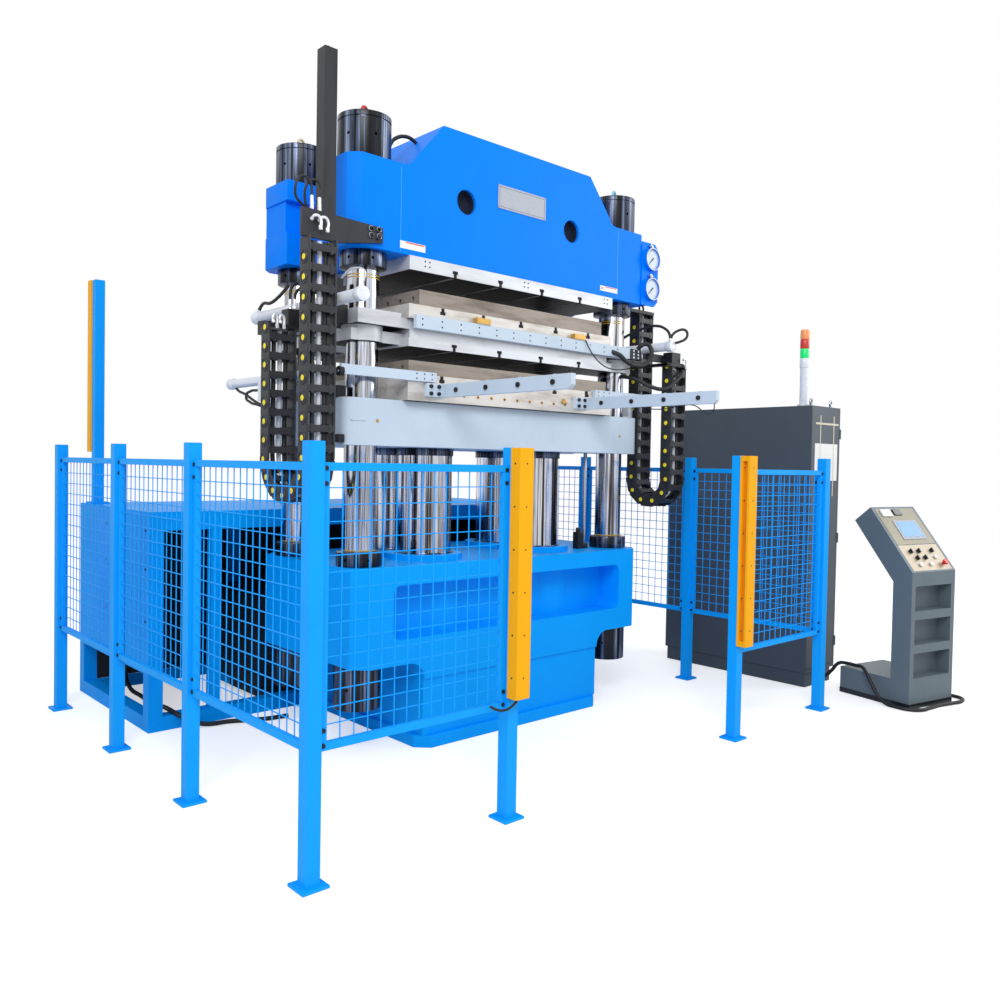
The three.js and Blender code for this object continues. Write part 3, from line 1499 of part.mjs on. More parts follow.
// A welded mesh in its frame, made along X from zero and then turned and moved between two posts.
function fencePanel(length) {
  const height = PANEL_TOP - PANEL_BOTTOM;
  const shape = outline([
    [0, 0],
    [length, 0],
    [length, height],
    [0, height],
  ]);
  const openX = length - PANEL_RAIL * 2;
  const openZ = height - PANEL_RAIL * 2;
  const frameHole = new THREE.Path();
  frameHole.moveTo(PANEL_RAIL, PANEL_RAIL);
  frameHole.lineTo(PANEL_RAIL, PANEL_RAIL + openZ);
  frameHole.lineTo(PANEL_RAIL + openX, PANEL_RAIL + openZ);
  frameHole.lineTo(PANEL_RAIL + openX, PANEL_RAIL);
  frameHole.closePath();
  shape.holes.push(frameHole);
  const frame = new THREE.ExtrudeGeometry(shape, { depth: PANEL_DEPTH, bevelEnabled: false });
  frame.translate(0, 0, -PANEL_DEPTH / 2);
  const gapX = (openX - MESH_WIRE * (MESH_COLUMNS - 1)) / MESH_COLUMNS;
  const gapZ = (openZ - MESH_WIRE * (MESH_ROWS - 1)) / MESH_ROWS;
  let body = solid(frame);
  for (let i = 1; i < MESH_COLUMNS; i++) {
    const x = PANEL_RAIL + i * (gapX + MESH_WIRE);
    body = body.add(wire(x - MESH_WIRE, x, PANEL_RAIL - JOIN, PANEL_RAIL + openZ + JOIN));
  }
  for (let j = 1; j < MESH_ROWS; j++) {
    const z = PANEL_RAIL + j * (gapZ + MESH_WIRE);
    body = body.add(wire(PANEL_RAIL - JOIN, PANEL_RAIL + openX + JOIN, z - MESH_WIRE, z));
  }
  return body;
}

function panelBetween(x0, y0, x1, y1) {
  const length = Math.hypot(x1 - x0, y1 - y0) - POST_SIZE + JOIN * 2;
  const angle = Math.atan2(y1 - y0, x1 - x0);
  const start = POST_SIZE / 2 - JOIN;
  const place = new THREE.Matrix4().makeRotationZ(angle);
  place.setPosition(x0 + Math.cos(angle) * start, y0 + Math.sin(angle) * start, PANEL_BOTTOM);
  const upright = new THREE.Matrix4().makeRotationX(Math.PI / 2);
  place.multiply(upright);
  return fencePanel(length).transform(place.toArray());
}

function fenceRun(places) {
  let body = fencePost(...places[0]);
  for (let i = 1; i < places.length; i++) {
    body = join(body, fencePost(...places[i]), panelBetween(...places[i - 1], ...places[i]));
  }
  return body;
}

const fenceFront = LEFT_POST_Y[0];

function addFence() {
  add("fence_left", fenceRun(LEFT_POST_Y.map((y) => [FENCE_LEFT, y])), paintBlue);
  add("fence_right", fenceRun(RIGHT_POST_Y.map((y) => [FENCE_RIGHT, y])), paintBlue);
  const leftEnd = FENCE_LEFT + FRONT_LEFT_BAY;
  const rightEnd = FENCE_RIGHT - FRONT_RIGHT_BAY;
  const gap = FRONT_PANEL_GAP;
  const leftPanel = cut(
    join(fencePost(leftEnd, fenceFront), panelBetween(FENCE_LEFT, fenceFront, leftEnd, fenceFront)),
    block(
      FENCE_LEFT - POST_SIZE,
      FENCE_LEFT + POST_SIZE / 2 + gap,
      fenceFront - POST_SIZE,
      fenceFront + POST_SIZE,
      0,
      POST_HEIGHT,
    ),
  );
  add("fence_front_left", leftPanel, paintBlue);
  const rightPanel = cut(
    join(fencePost(rightEnd, fenceFront), panelBetween(rightEnd, fenceFront, FENCE_RIGHT, fenceFront)),
    block(
      FENCE_RIGHT - POST_SIZE / 2 - gap,
      FENCE_RIGHT + POST_SIZE,
      fenceFront - POST_SIZE,
      fenceFront + POST_SIZE,
      0,
      POST_HEIGHT,
    ),
  );
  add("fence_front_right", rightPanel, paintBlue);
}

// A light-curtain housing with its lens channel facing along the opening.
function curtainCover(x, y, side, z0, z1, open) {
  const y0 = side < 0 ? y - POST_SIZE / 2 - COVER_DEPTH : y + POST_SIZE / 2;
  const x0 = x - COVER_WIDTH / 2;
  const cover = block(x0, x0 + COVER_WIDTH, y0, y0 + COVER_DEPTH, z0, z1);
  const middle = y0 + COVER_DEPTH / 2;
  const mouth = open > 0 ? x0 + COVER_WIDTH : x0;
  const inner = mouth - open * COVER_CHANNEL_DEPTH;
  const outer = mouth + open * OVERRUN;
  const channel = block(
    inner,
    outer,
    middle - COVER_CHANNEL_WIDTH / 2,
    middle + COVER_CHANNEL_WIDTH / 2,
    z0 + COVER_CHANNEL_WIDTH,
    z1 - COVER_CHANNEL_WIDTH,
  );
  return cut(cover, channel);
}

function addLightCurtains() {
  const top = COVER_BOTTOM + COVER_HEIGHT;
  const left = curtainCover(FENCE_LEFT + FRONT_LEFT_BAY, fenceFront, -1, COVER_BOTTOM, top, 1);
  const right = curtainCover(FENCE_RIGHT - FRONT_RIGHT_BAY, fenceFront, -1, COVER_BOTTOM, top, -1);
  add("curtain_cover_left", left, yellowPaint);
  add("curtain_cover_right", right, yellowPaint);
  const x = REAR_POST_X;
  const y = REAR_POST_Y;
  const z0 = UNIT_HEIGHT;
  const z1 = z0 + REAR_POST_HEIGHT;
  const rear = join(
    block(x - POST_SIZE / 2, x + POST_SIZE / 2, y - POST_SIZE / 2, y + POST_SIZE / 2, z0, z1),
    block(
      x - FOOT_SIZE / 2,
      x + FOOT_SIZE / 2,
      y - FOOT_SIZE / 2,
      y + FOOT_SIZE / 2,
      z0,
      z0 + FOOT_THICKNESS,
    ),
    curtainCover(x, y - JOIN, 1, z0 + REAR_COVER_BOTTOM, z1, 1),
  );
  add("rear_curtain_post", rear, paintBlue);
}

// The skid frame behind the press: tubes, deck, side sheets and the oil tank with its motor inside.
function addPowerUnit() {
  const x0 = UNIT_LEFT;
  const x1 = x0 + UNIT_LENGTH;
  const y0 = UNIT_FRONT;
  const y1 = y0 + UNIT_DEPTH;
  const t = UNIT_TUBE;
  const deckBottom = UNIT_HEIGHT - UNIT_DECK;
  let body = block(x0, x1, y0, y1, deckBottom, UNIT_HEIGHT);
  for (let i = 0; i <= UNIT_BAYS; i++) {
    const x = x0 + (i * (UNIT_LENGTH - t)) / UNIT_BAYS;
    for (const y of [y0, y1 - t]) body = body.add(block(x, x + t, y, y + t, 0, deckBottom + JOIN));
  }
  for (const y of [y0, y1 - t]) body = body.add(block(x0, x1, y, y + t, 0, t));
  for (const x of [x0, x1 - t]) body = body.add(block(x, x + t, y0, y1, 0, t));
  for (const y of [
    y0,
    y1 - t,
  ]) body = body.add(block(x0, x1, y, y + t, deckBottom - t, deckBottom + JOIN));
  for (const x of [x0, x1 - UNIT_SHEET]) {
    body = body.add(block(
      x,
      x + UNIT_SHEET,
      y0 + t - JOIN,
      y1 - t + JOIN,
      SHEET_BOTTOM,
      deckBottom + JOIN,
    ));
  }
  const tankX = (x0 + x1) / 2;
  const tankY = (y0 + y1) / 2;
  body = body.add(
    block(
      tankX - TANK_LENGTH / 2,
      tankX + TANK_LENGTH / 2,
      tankY - TANK_DEPTH / 2,
      y1 - t + JOIN,
      t - JOIN,
      t + TANK_HEIGHT,
    ),
  );
  body = body.add(
    block(
      tankX - TANK_LENGTH / 2,
      tankX + TANK_LENGTH / 2,
      y0 + t - JOIN,
      y1 - t + JOIN,
      t - TANK_SILL,
      t,
    ),
  );
  const motorTop = t + TANK_HEIGHT + MOTOR_DIAMETER / 2;
  const motor = barX(
    tankY,
    motorTop,
    tankX - TANK_LENGTH / 4,
    tankX - TANK_LENGTH / 4 + MOTOR_LENGTH,
    MOTOR_DIAMETER + JOIN,
  );
  add("power_unit", body.add(motor), paintBlue);
}

// The control cabinet, open on the side away from the press, with two doors hung on its outer edges.
function addCabinet() {
  const x0 = CABINET_LEFT;
  const x1 = x0 + CABINET_WIDTH - DOOR_THICKNESS - DOOR_SEAT;
  const y0 = CABINET_FRONT;
  const y1 = y0 + CABINET_LENGTH;
  const w = CABINET_WALL;
  const i = PLINTH_INSET;
  let body = block(x0, x1, y0, y1, PLINTH_HEIGHT, CABINET_HEIGHT);
  body = cut(body, block(x0 + w, x1 + OVERRUN, y0 + w, y1 - w, PLINTH_HEIGHT + w, CABINET_HEIGHT - w));
  body = body.add(block(x0 + i, x1 - i, y0 + i, y1 - i, 0, PLINTH_HEIGHT + JOIN));
  add("cabinet_body", body, cabinetGrey);
  const doorLength = (CABINET_LENGTH - DOOR_GAP) / 2;
  for (const [name, start, side] of [
    ["front", y0, 1],
    ["rear", y1 - doorLength, -1],
  ]) {
    const dx = x1 + DOOR_SEAT;
    const door = block(
      dx,
      dx + DOOR_THICKNESS,
      start,
      start + doorLength,
      PLINTH_HEIGHT,
      CABINET_HEIGHT,
    );
    const handleY = side > 0 ? start + doorLength - DOOR_HANDLE_INSET : start + DOOR_HANDLE_INSET;
    const handleZ = (PLINTH_HEIGHT + CABINET_HEIGHT) / 2;
    const handle = block(
      dx + DOOR_THICKNESS - JOIN,
      dx + DOOR_THICKNESS + DOOR_HANDLE_DEPTH,
      handleY - DOOR_HANDLE_WIDTH / 2,
      handleY + DOOR_HANDLE_WIDTH / 2,
      handleZ - DOOR_HANDLE_LENGTH / 2,
      handleZ + DOOR_HANDLE_LENGTH / 2,
    );
    const hingeY = side > 0 ? start : start + doorLength;
    const hinges = HINGE_HEIGHT_SHARES.map((share) => {
      const z = PLINTH_HEIGHT + share * (CABINET_HEIGHT - PLINTH_HEIGHT);
      return post(
        dx + DOOR_THICKNESS,
        hingeY,
        z - HINGE_LENGTH / 2,
        z + HINGE_LENGTH / 2,
        HINGE_DIAMETER,
        SMALL_SIDES,
      );
    });
    add("cabinet_door_" + name, join(door, handle, ...hinges), cabinetGrey);
  }
}

function addStackLight() {
  const z0 = CABINET_HEIGHT;
  let body = join(
    post(LIGHT_X, LIGHT_Y, z0, z0 + LIGHT_BASE_HEIGHT, LIGHT_BASE_DIAMETER, LIGHT_SIDES),
    post(LIGHT_X, LIGHT_Y, z0, z0 + LIGHT_POLE_HEIGHT, LIGHT_POLE_DIAMETER, LIGHT_SIDES),
  );
  let z = z0 + LIGHT_POLE_HEIGHT - JOIN;
  for (let i = 0; i < LIGHT_LENSES; i++) {
    body = join(
      body,
      post(LIGHT_X, LIGHT_Y, z, z + LIGHT_LENS_HEIGHT, LIGHT_LENS_DIAMETER, LIGHT_SIDES),
      post(
        LIGHT_X,
        LIGHT_Y,
        z,
        z + LIGHT_LENS_HEIGHT + LIGHT_LENS_GAP + JOIN,
        LIGHT_LENS_DIAMETER - LIGHT_LENS_GAP * 2,
        LIGHT_SIDES,
      ),
    );
    z += LIGHT_LENS_HEIGHT + LIGHT_LENS_GAP;
  }
  add("stack_light", body, clearPlastic);
}

// The console's own frame: X across its front, Y to its back, origin at the front left corner on
// the floor.
const consolePlace = new THREE.Matrix4().makeRotationZ(Math.PI * CONSOLE_TURN_SHARE);
consolePlace.setPosition(CONSOLE_X, CONSOLE_Y, 0);

// The desk's own frame: X across, Y up the slope, Z out of the panel, origin at its lower left corner.
const deskAngle = Math.atan2(CONSOLE_HEAD_RISE, CONSOLE_HEAD_RUN);
const deskLength = Math.hypot(CONSOLE_HEAD_RISE, CONSOLE_HEAD_RUN);
const deskPlace = consolePlace
  .clone()
  .multiply(new THREE.Matrix4().makeTranslation(0, 0, CONSOLE_PILLAR_HEIGHT))
  .multiply(new THREE.Matrix4().makeRotationX(deskAngle));

const controls = [
  ["selector_1", 0.24, 0.3, "selector"],
  ["selector_2", 0.42, 0.3, "selector"],
  ["selector_3", 0.72, 0.3, "selector"],
  ["selector_4", 0.3, 0.2, "selector"],
  ["selector_5", 0.48, 0.2, "selector"],
  ["push_button_1", 0.72, 0.2, "button"],
  ["push_button_2", 0.28, 0.1, "button"],
  ["push_button_3", 0.52, 0.1, "button"],
  ["emergency_stop", 0.8, 0.1, "stop"],
];

function addConsole() {
  const w = CONSOLE_WIDTH;
  const d = CONSOLE_PILLAR_DEPTH;
  const h = CONSOLE_PILLAR_HEIGHT;
  const backX = Math.sin(deskAngle) * CONSOLE_HEAD_THICKNESS;
  const backZ = -Math.cos(deskAngle) * CONSOLE_HEAD_THICKNESS;
  const underZ = h + ((d - backX) * CONSOLE_HEAD_RISE) / CONSOLE_HEAD_RUN + backZ;
  const side = outline([
    [0, 0],
    [CONSOLE_BASE_DEPTH, 0],
    [CONSOLE_BASE_DEPTH, CONSOLE_BASE_HEIGHT],
    [d, CONSOLE_BASE_HEIGHT],
    [d, underZ],
    [CONSOLE_HEAD_RUN + backX, h + CONSOLE_HEAD_RISE + backZ],
    [CONSOLE_HEAD_RUN, h + CONSOLE_HEAD_RISE],
    [0, h],
  ]);
  let body = slabX(side, 0, w);
  for (let i = 0; i < SHELF_COUNT; i++) {
    const z = SHELF_BOTTOM + i * SHELF_PITCH;
    body = cut(body, block(SHELF_MARGIN, w - SHELF_MARGIN, -OVERRUN, SHELF_DEPTH, z, z + SHELF_HEIGHT));
  }
  body = body.transform(consolePlace.toArray());
  for (const [, across, up] of controls) {
    body = cut(
      body,
      controlBar(
        across,
        up,
        -CONTROL_SHAFT_DEPTH - CONTROL_TRAVEL * 2,
        OVERRUN,
        CONTROL_SHAFT_DIAMETER + CONTROL_FIT * 2,
      ),
    );
  }
  add("console_body", body, cabinetGrey);
}

// A round bar square to the desk, between two heights above it.
function controlBar(acrossShare, upShare, z0, z1, diameter, sides = TINY_SIDES) {
  const geometry = new THREE.CylinderGeometry(diameter / 2, diameter / 2, z1 - z0, sides);
  geometry.rotateX(Math.PI / 2);
  geometry.translate(acrossShare * CONSOLE_WIDTH, upShare * deskLength, (z0 + z1) / 2);
  geometry.applyMatrix4(deskPlace);
  return solid(geometry);
}

function addControls() {
  const rest = CONTROL_TRAVEL + CONTROL_SEAT;
  for (const [name, across, up, kind] of controls) {
    if (kind === "selector") {
      const z = CONTROL_SEAT;
      const grip = new THREE.BoxGeometry(SELECTOR_GRIP_WIDTH, SELECTOR_DIAMETER, SELECTOR_GRIP_HEIGHT);
      grip.translate(
        across * CONSOLE_WIDTH,
        up * deskLength,
        z + SELECTOR_HEIGHT + SELECTOR_GRIP_HEIGHT / 2 - JOIN,
      );
      grip.applyMatrix4(deskPlace);
      const body = join(
        controlBar(across, up, z, z + SELECTOR_HEIGHT, SELECTOR_DIAMETER),
        controlBar(across, up, -CONTROL_SHAFT_DEPTH, z + JOIN, CONTROL_SHAFT_DIAMETER),
        solid(grip),
      );
      add(name, body, blackPlastic);
    }
    if (kind === "button") {
      const body = join(
        controlBar(across, up, rest, rest + BUTTON_HEIGHT, BUTTON_DIAMETER),
        controlBar(across, up, -CONTROL_SHAFT_DEPTH, rest + JOIN, CONTROL_SHAFT_DIAMETER),
      );
      add(name, body, whitePlastic);
    }
    if (kind === "stop") {
      const stem = rest + STOP_STEM_HEIGHT;
      const body = join(
        controlBar(across, up, rest, stem + JOIN, STOP_STEM_DIAMETER),
        controlBar(across, up, stem, stem + STOP_CAP_HEIGHT, STOP_DIAMETER),
        controlBar(across, up, -CONTROL_SHAFT_DEPTH, rest + JOIN, CONTROL_SHAFT_DIAMETER),
      );
      add(name, body, redPlastic);
    }
  }
}

// The console's cable, from the cabinet's plinth over the console's base, along the floor and round
// its front.
const cableRoute = [
  [2330, -1135, 60],
  [2326, -1190, 66],
  [2315, -1250, 118],
  [2302, -1310, 184],
  [2288, -1380, 196],
  [2264, -1450, 198],
  [2228, -1508, 204],
  [2184, -1556, 184],
  [2162, -1610, 112],
  [2148, -1660, 48],
  [2134, -1720, 16],
  [2124, -1780, 13],
  [2122, -1860, 13],
  [2170, -1918, 13],
  [2270, -1936, 13],
  [2390, -1950, 13],
  [2510, -1982, 13],
  [2610, -2002, 13],
  [2690, -1970, 13],
  [2715, -1890, 13],
  [2722, -1790, 13],
  [2742, -1690, 13],
  [2762, -1610, 16],
  [2745, -1560, 34],
  [2681, -1549, 40],
];

function addConsoleCable() {
  const points = cableRoute.map(([x, y, z]) => new THREE.Vector3(x, y, z));
  points[0].y -= CABLE_END_GAP;
  const shape = outline(
    Array.from({ length: HEX_SIDES }, (_, i) => {
      const angle = (i / HEX_SIDES) * Math.PI * 2;
      return [(Math.cos(angle) * CABLE_DIAMETER) / 2, (Math.sin(angle) * CABLE_DIAMETER) / 2];
    }),
  );
  const geometry = new THREE.ExtrudeGeometry(shape, {
    steps: CABLE_STEPS,
    extrudePath: new THREE.CatmullRomCurve3(points),
  });
  add("console_cable", solid(geometry), blackPlastic);
}

addBasePlate();
addLowerBeam();
addColumns();
addTopNuts();
addCrown();
addHotPlates();
addMoulds();
addRams();
addMovingPlaten();
addMiddlePlaten();
addCrossBar();
addRailArms();
addUpperCylinders();
addLowerCylinders();
addPullBars();
addChains();
addGuideMast();
addGaugePlate();
addGaugeNeedles();
addFence();
addLightCurtains();
addPowerUnit();
addCabinet();
addStackLight();
addConsole();
addControls();
addConsoleCable();

export default press;
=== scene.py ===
import json
import math

import bpy
from mathutils import Matrix, Vector

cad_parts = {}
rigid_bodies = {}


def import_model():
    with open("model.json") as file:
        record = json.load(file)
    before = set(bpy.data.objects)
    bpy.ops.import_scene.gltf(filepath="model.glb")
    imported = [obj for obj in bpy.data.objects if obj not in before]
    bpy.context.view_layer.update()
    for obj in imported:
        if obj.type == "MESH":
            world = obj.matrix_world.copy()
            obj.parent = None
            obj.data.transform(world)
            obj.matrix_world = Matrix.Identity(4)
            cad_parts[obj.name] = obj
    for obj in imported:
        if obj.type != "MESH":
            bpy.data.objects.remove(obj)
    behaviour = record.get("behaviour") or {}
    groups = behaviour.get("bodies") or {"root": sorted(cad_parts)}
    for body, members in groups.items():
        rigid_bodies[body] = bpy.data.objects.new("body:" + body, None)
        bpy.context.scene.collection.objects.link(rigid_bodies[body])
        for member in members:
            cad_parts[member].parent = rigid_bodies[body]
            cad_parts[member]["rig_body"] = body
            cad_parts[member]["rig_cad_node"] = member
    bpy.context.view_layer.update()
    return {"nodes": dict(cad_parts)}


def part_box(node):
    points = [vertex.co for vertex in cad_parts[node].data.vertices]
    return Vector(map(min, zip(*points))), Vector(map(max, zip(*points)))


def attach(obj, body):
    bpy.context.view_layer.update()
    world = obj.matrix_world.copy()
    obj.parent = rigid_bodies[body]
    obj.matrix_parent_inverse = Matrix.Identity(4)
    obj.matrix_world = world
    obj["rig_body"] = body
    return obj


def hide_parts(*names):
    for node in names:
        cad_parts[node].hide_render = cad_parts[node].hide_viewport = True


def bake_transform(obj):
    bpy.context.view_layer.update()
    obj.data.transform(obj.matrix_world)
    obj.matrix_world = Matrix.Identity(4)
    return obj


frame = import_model()
nodes = frame["nodes"]

# The camera stands where the photographer stood, in front of the left corner of the guard fence,
# about chest high, and looks at the press with a slight downward tilt.
CAMERA_PLACE = Vector((-3.507, -4.182, 1.515))
CAMERA_YAW = 0.73811
CAMERA_PITCH = 0.02643
CAMERA_ROLL = 0.01768
CAMERA_LENS_MM = 31.58
CAMERA_SHIFT_Y = -0.0124
CAMERA_REACH = 60
bpy.ops.object.camera_add()
camera = bpy.context.object
camera.data.lens = CAMERA_LENS_MM
camera.data.shift_y = CAMERA_SHIFT_Y
camera.data.clip_end = CAMERA_REACH
camera.matrix_world = (
    Matrix.Translation(CAMERA_PLACE)
    @ Matrix.Rotation(-CAMERA_YAW, 4, "Z")
    @ Matrix.Rotation(math.pi / 2 - CAMERA_PITCH, 4, "X")
    @ Matrix.Rotation(CAMERA_ROLL, 4, "Z")
)
bpy.context.scene.camera = camera


# The console's cable is a stiff black rubber cable about as thick as a thumb. It leaves the cabinet's
# plinth, lies over the console's base, drops to the floor and runs round the console's front.
CABLE_RADIUS = 0.012
CABLE_ROUTE = [
    (2.33, -1.1375, 0.06), (2.326, -1.19, 0.066), (2.315, -1.25, 0.118), (2.302, -1.31, 0.184),
    (2.288, -1.38, 0.196), (2.264, -1.45, 0.198), (2.228, -1.508, 0.204), (2.184, -1.556, 0.184),
    (2.162, -1.61, 0.112), (2.148, -1.66, 0.048), (2.134, -1.72, 0.016), (2.124, -1.78, 0.013),
    (2.122, -1.86, 0.013), (2.17, -1.918, 0.013), (2.27, -1.936, 0.013), (2.39, -1.95, 0.013),
    (2.51, -1.982, 0.013), (2.61, -2.002, 0.013), (2.69, -1.97, 0.013), (2.715, -1.89, 0.013),
    (2.722, -1.79, 0.013), (2.742, -1.69, 0.013), (2.762, -1.61, 0.016), (2.745, -1.56, 0.034),
    (2.681, -1.549, 0.04),
]


def linear(code):
    """A colour written as six hex digits, as the shader needs it."""
    values = [int(code[i : i + 2], 16) / 255 for i in (0, 2, 4)]
    return [v / 12.92 if v <= 0.04045 else ((v + 0.055) / 1.055) ** 2.4 for v in values] + [1]


def feed(node, socket, value):
    """Gives an input its value, or links it where the value is a pair of a node and its output."""
    if isinstance(value, tuple) and len(value) == 2:
        node.id_data.links.new(value[0].outputs[value[1]], node.inputs[socket])
    else:
        node.inputs[socket].default_value = value


def add_node(tree, kind, *first, **values):
    """A shader node: what its first inputs take, and then its settings and inputs by name."""
    node = tree.nodes.new("ShaderNode" + kind)
    for key, value in values.items():
        if hasattr(node, key):
            setattr(node, key, value)
        else:
            feed(node, key.replace("_", " "), value)
    for socket, value in enumerate(first):
        feed(node, socket, value)
    return node


def new_material(name, code, roughness, metallic=0.0):
    material = bpy.data.materials.new(name)
    material.use_nodes = True
    shader = material.node_tree.nodes["Principled BSDF"]
    shader.inputs["Base Color"].default_value = linear(code)
    shader.inputs["Roughness"].default_value = roughness
    shader.inputs["Metallic"].default_value = metallic
    return material


def new_group(name, inputs, outputs):
    """A shader node group with its input node and its output node."""
    group = bpy.data.node_groups.new(name, "ShaderNodeTree")
    for way, sockets in (("INPUT", inputs), ("OUTPUT", outputs)):
        for socket, kind in sockets.items():
            group.interface.new_socket(socket, in_out=way, socket_type="NodeSocket" + kind)
    return group, group.nodes.new("NodeGroupInput"), group.nodes.new("NodeGroupOutput")


def surface_group():
    """Blotches, fine grain and a slightly uneven gloss, for whatever stands in a workshop."""
    inputs = {"Color": "Color", "Worn Color": "Color", "Stretch": "Vector"}
    inputs |= dict.fromkeys(["Wear", "Blotch Scale", "Grain Scale", "Roughness"], "Float")
    outputs = {"Color": "Color", "Roughness": "Float", "Height": "Float"}
    group, start, end = new_group("workshop surface", inputs, outputs)
    place = add_node(group, "TexCoord")
    stretch = add_node(group, "VectorMath", (place, "Object"), (start, "Stretch"), operation="MULTIPLY")
    blotch = add_node(
        group, "TexNoise", (stretch, 0), Scale=(start, "Blotch Scale"), Detail=6, Roughness=0.65
    )
    grain = add_node(group, "TexNoise", (stretch, 0), Scale=(start, "Grain Scale"), Detail=3)
    mask = add_node(group, "MapRange", (blotch, "Fac"), From_Min=0.48, From_Max=0.72)
    amount = add_node(group, "Math", (mask, "Result"), (start, "Wear"), operation="MULTIPLY")
    mix = add_node(
        group, "Mix", data_type="RGBA", Factor=(amount, 0), A=(start, "Color"), B=(start, "Worn Color")
    )
    gloss = add_node(group, "MapRange", (blotch, "Fac"), To_Min=-0.08, To_Max=0.12)
    total = add_node(group, "Math", (gloss, "Result"), (start, "Roughness"), use_clamp=True)
    feed(end, "Color", (mix, "Result"))
    feed(end, "Roughness", (total, 0))
    feed(end, "Height", (grain, "Fac"))
    return group


SURFACE = surface_group()
GRAIN_DEPTH = 0.002


def worked_material(
    name, code, worn, wear, rough, metallic=0.0, blotch=3.0, grain=180.0, bump=0.02, stretch=(1, 1, 1),
    shine=None,
):
    """A material whose colour and gloss vary over the surface, with a fine grain under the light."""
    material = new_material(name, code, rough, metallic)
    tree = material.node_tree
    shader = tree.nodes["Principled BSDF"]
    if shine is not None:
        shader.inputs["Specular IOR Level"].default_value = shine
    surface = add_node(
        tree, "Group", node_tree=SURFACE, Color=linear(code), Worn_Color=linear(worn), Stretch=stretch,
        Wear=wear, Blotch_Scale=blotch, Grain_Scale=grain, Roughness=rough,
    )
    height = add_node(tree, "Bump", Strength=bump, Distance=GRAIN_DEPTH, Height=(surface, "Height"))
    feed(shader, "Base Color", (surface, "Color"))
    feed(shader, "Roughness", (surface, "Roughness"))
    feed(shader, "Normal", (height, "Normal"))
    return material


rubber = worked_material("cable_rubber", "191A1C", "2C2D30", 0.4, 0.55, grain=400, bump=0.05)


def deselect():
    bpy.ops.object.select_all(action="DESELECT")


def together(parts):
    """Joins finished parts of one material into one piece."""
    deselect()
    for part in parts:
        part.select_set(True)
    bpy.context.view_layer.objects.active = parts[0]
    if len(parts) > 1:
        bpy.ops.object.join()
    return bpy.context.object


def settle(piece, name, material, body="press_frame"):
    """Names a finished piece or list of parts, gives it its material and lets it ride on its body."""
    if isinstance(piece, list):
        piece = together(piece)
    piece.name = name
    piece.data.name = name
    piece.data.materials.clear()
    piece.data.materials.append(material)
    if body:
        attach(piece, body)
    return piece


def line_through(name, points, radius):
    """A round line through points, as a curve of one open spline."""
    curve = bpy.data.curves.new(name, "CURVE")
    curve.dimensions = "3D"
    curve.bevel_depth = radius
    curve.bevel_resolution = 4
    curve.resolution_u = 8
    curve.use_fill_caps = True
    spline = curve.splines.new("BEZIER")
    spline.bezier_points.add(len(points) - 1)
    for place, knot in zip(points, spline.bezier_points):
        knot.co = place
        knot.handle_left_type = "AUTO"
        knot.handle_right_type = "AUTO"
    line = bpy.data.objects.new(name, curve)
    bpy.context.scene.collection.objects.link(line)
    return line


cable = line_through("console_cable_line", CABLE_ROUTE, CABLE_RADIUS)
settle(cable, "console_cable_line", rubber)
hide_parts("console_cable")


# The workshop floor and the light. The floor is plain and pale, and soft lamps on both sides stand in
# for an overcast yard, so that every colour comes out about as it is. Behind the press all is plain white.
FLOOR_HALF = 14
KEY_LIGHT_PLACE = Vector((-5.5, -6.0, 6.5))
KEY_LIGHT_POWER = 420
SIDE_LIGHT_PLACE = Vector((6.5, -5.0, 4.5))
SIDE_LIGHT_POWER = 160
SKY_STRENGTH = 0.62
LAMP_SIZE = 4.0


def light_the_yard():
    world = bpy.data.worlds.new("yard")
    bpy.context.scene.world = world
    world.use_nodes = True
    tree = world.node_tree
    sky = tree.nodes["Background"]
    sky.inputs["Color"].default_value = linear("F4F7FB")
    sky.inputs["Strength"].default_value = SKY_STRENGTH
    white = add_node(tree, "Background", Color=(1, 1, 1, 1))
    rays = add_node(tree, "LightPath")
    seen = add_node(
        tree, "Math", (rays, "Is Camera Ray"), (rays, "Is Transmission Ray"), operation="MAXIMUM"
    )
    shown = add_node(tree, "Math", (seen, 0), (rays, "Is Glossy Ray"), operation="MAXIMUM")
    mix = add_node(tree, "MixShader", (shown, 0), (sky, 0), (white, 0))
    feed(tree.nodes["World Output"], "Surface", (mix, 0))


def lamp(name, place, power, target):
    bpy.ops.object.light_add(type="AREA", location=place)
    light = bpy.context.object
    light.name = name
    light.data.energy = power
    light.data.size = LAMP_SIZE
    light.rotation_euler = (target - place).to_track_quat("-Z", "Y").to_euler()


def pale_floor():
    deselect()
    bpy.ops.mesh.primitive_plane_add(size=FLOOR_HALF * 2, location=(0, 0, -0.001))
    floor = bpy.context.object
    floor.name = "floor"
    material = new_material("pale_floor", "EDEDED", 0.9)
    tree = material.node_tree
    shader = tree.nodes["Principled BSDF"]
    rays = add_node(tree, "LightPath")
    glow = add_node(tree, "Emission", Color=(1, 1, 1, 1), Strength=0.5)
    shade = add_node(tree, "AddShader", (shader, 0), (glow, 0))
    mix = add_node(tree, "MixShader", (rays, "Is Camera Ray"), (shader, 0), (shade, 0))
    feed(tree.nodes["Material Output"], "Surface", (mix, 0))
    floor.data.materials.append(material)


light_the_yard()
pale_floor()
lamp("key_lamp", KEY_LIGHT_PLACE, KEY_LIGHT_POWER, Vector((0, 0, 1.6)))
lamp("side_lamp", SIDE_LIGHT_PLACE, SIDE_LIGHT_POWER, Vector((0.5, 0, 1.4)))
bpy.context.scene.view_settings.view_transform = "Standard"


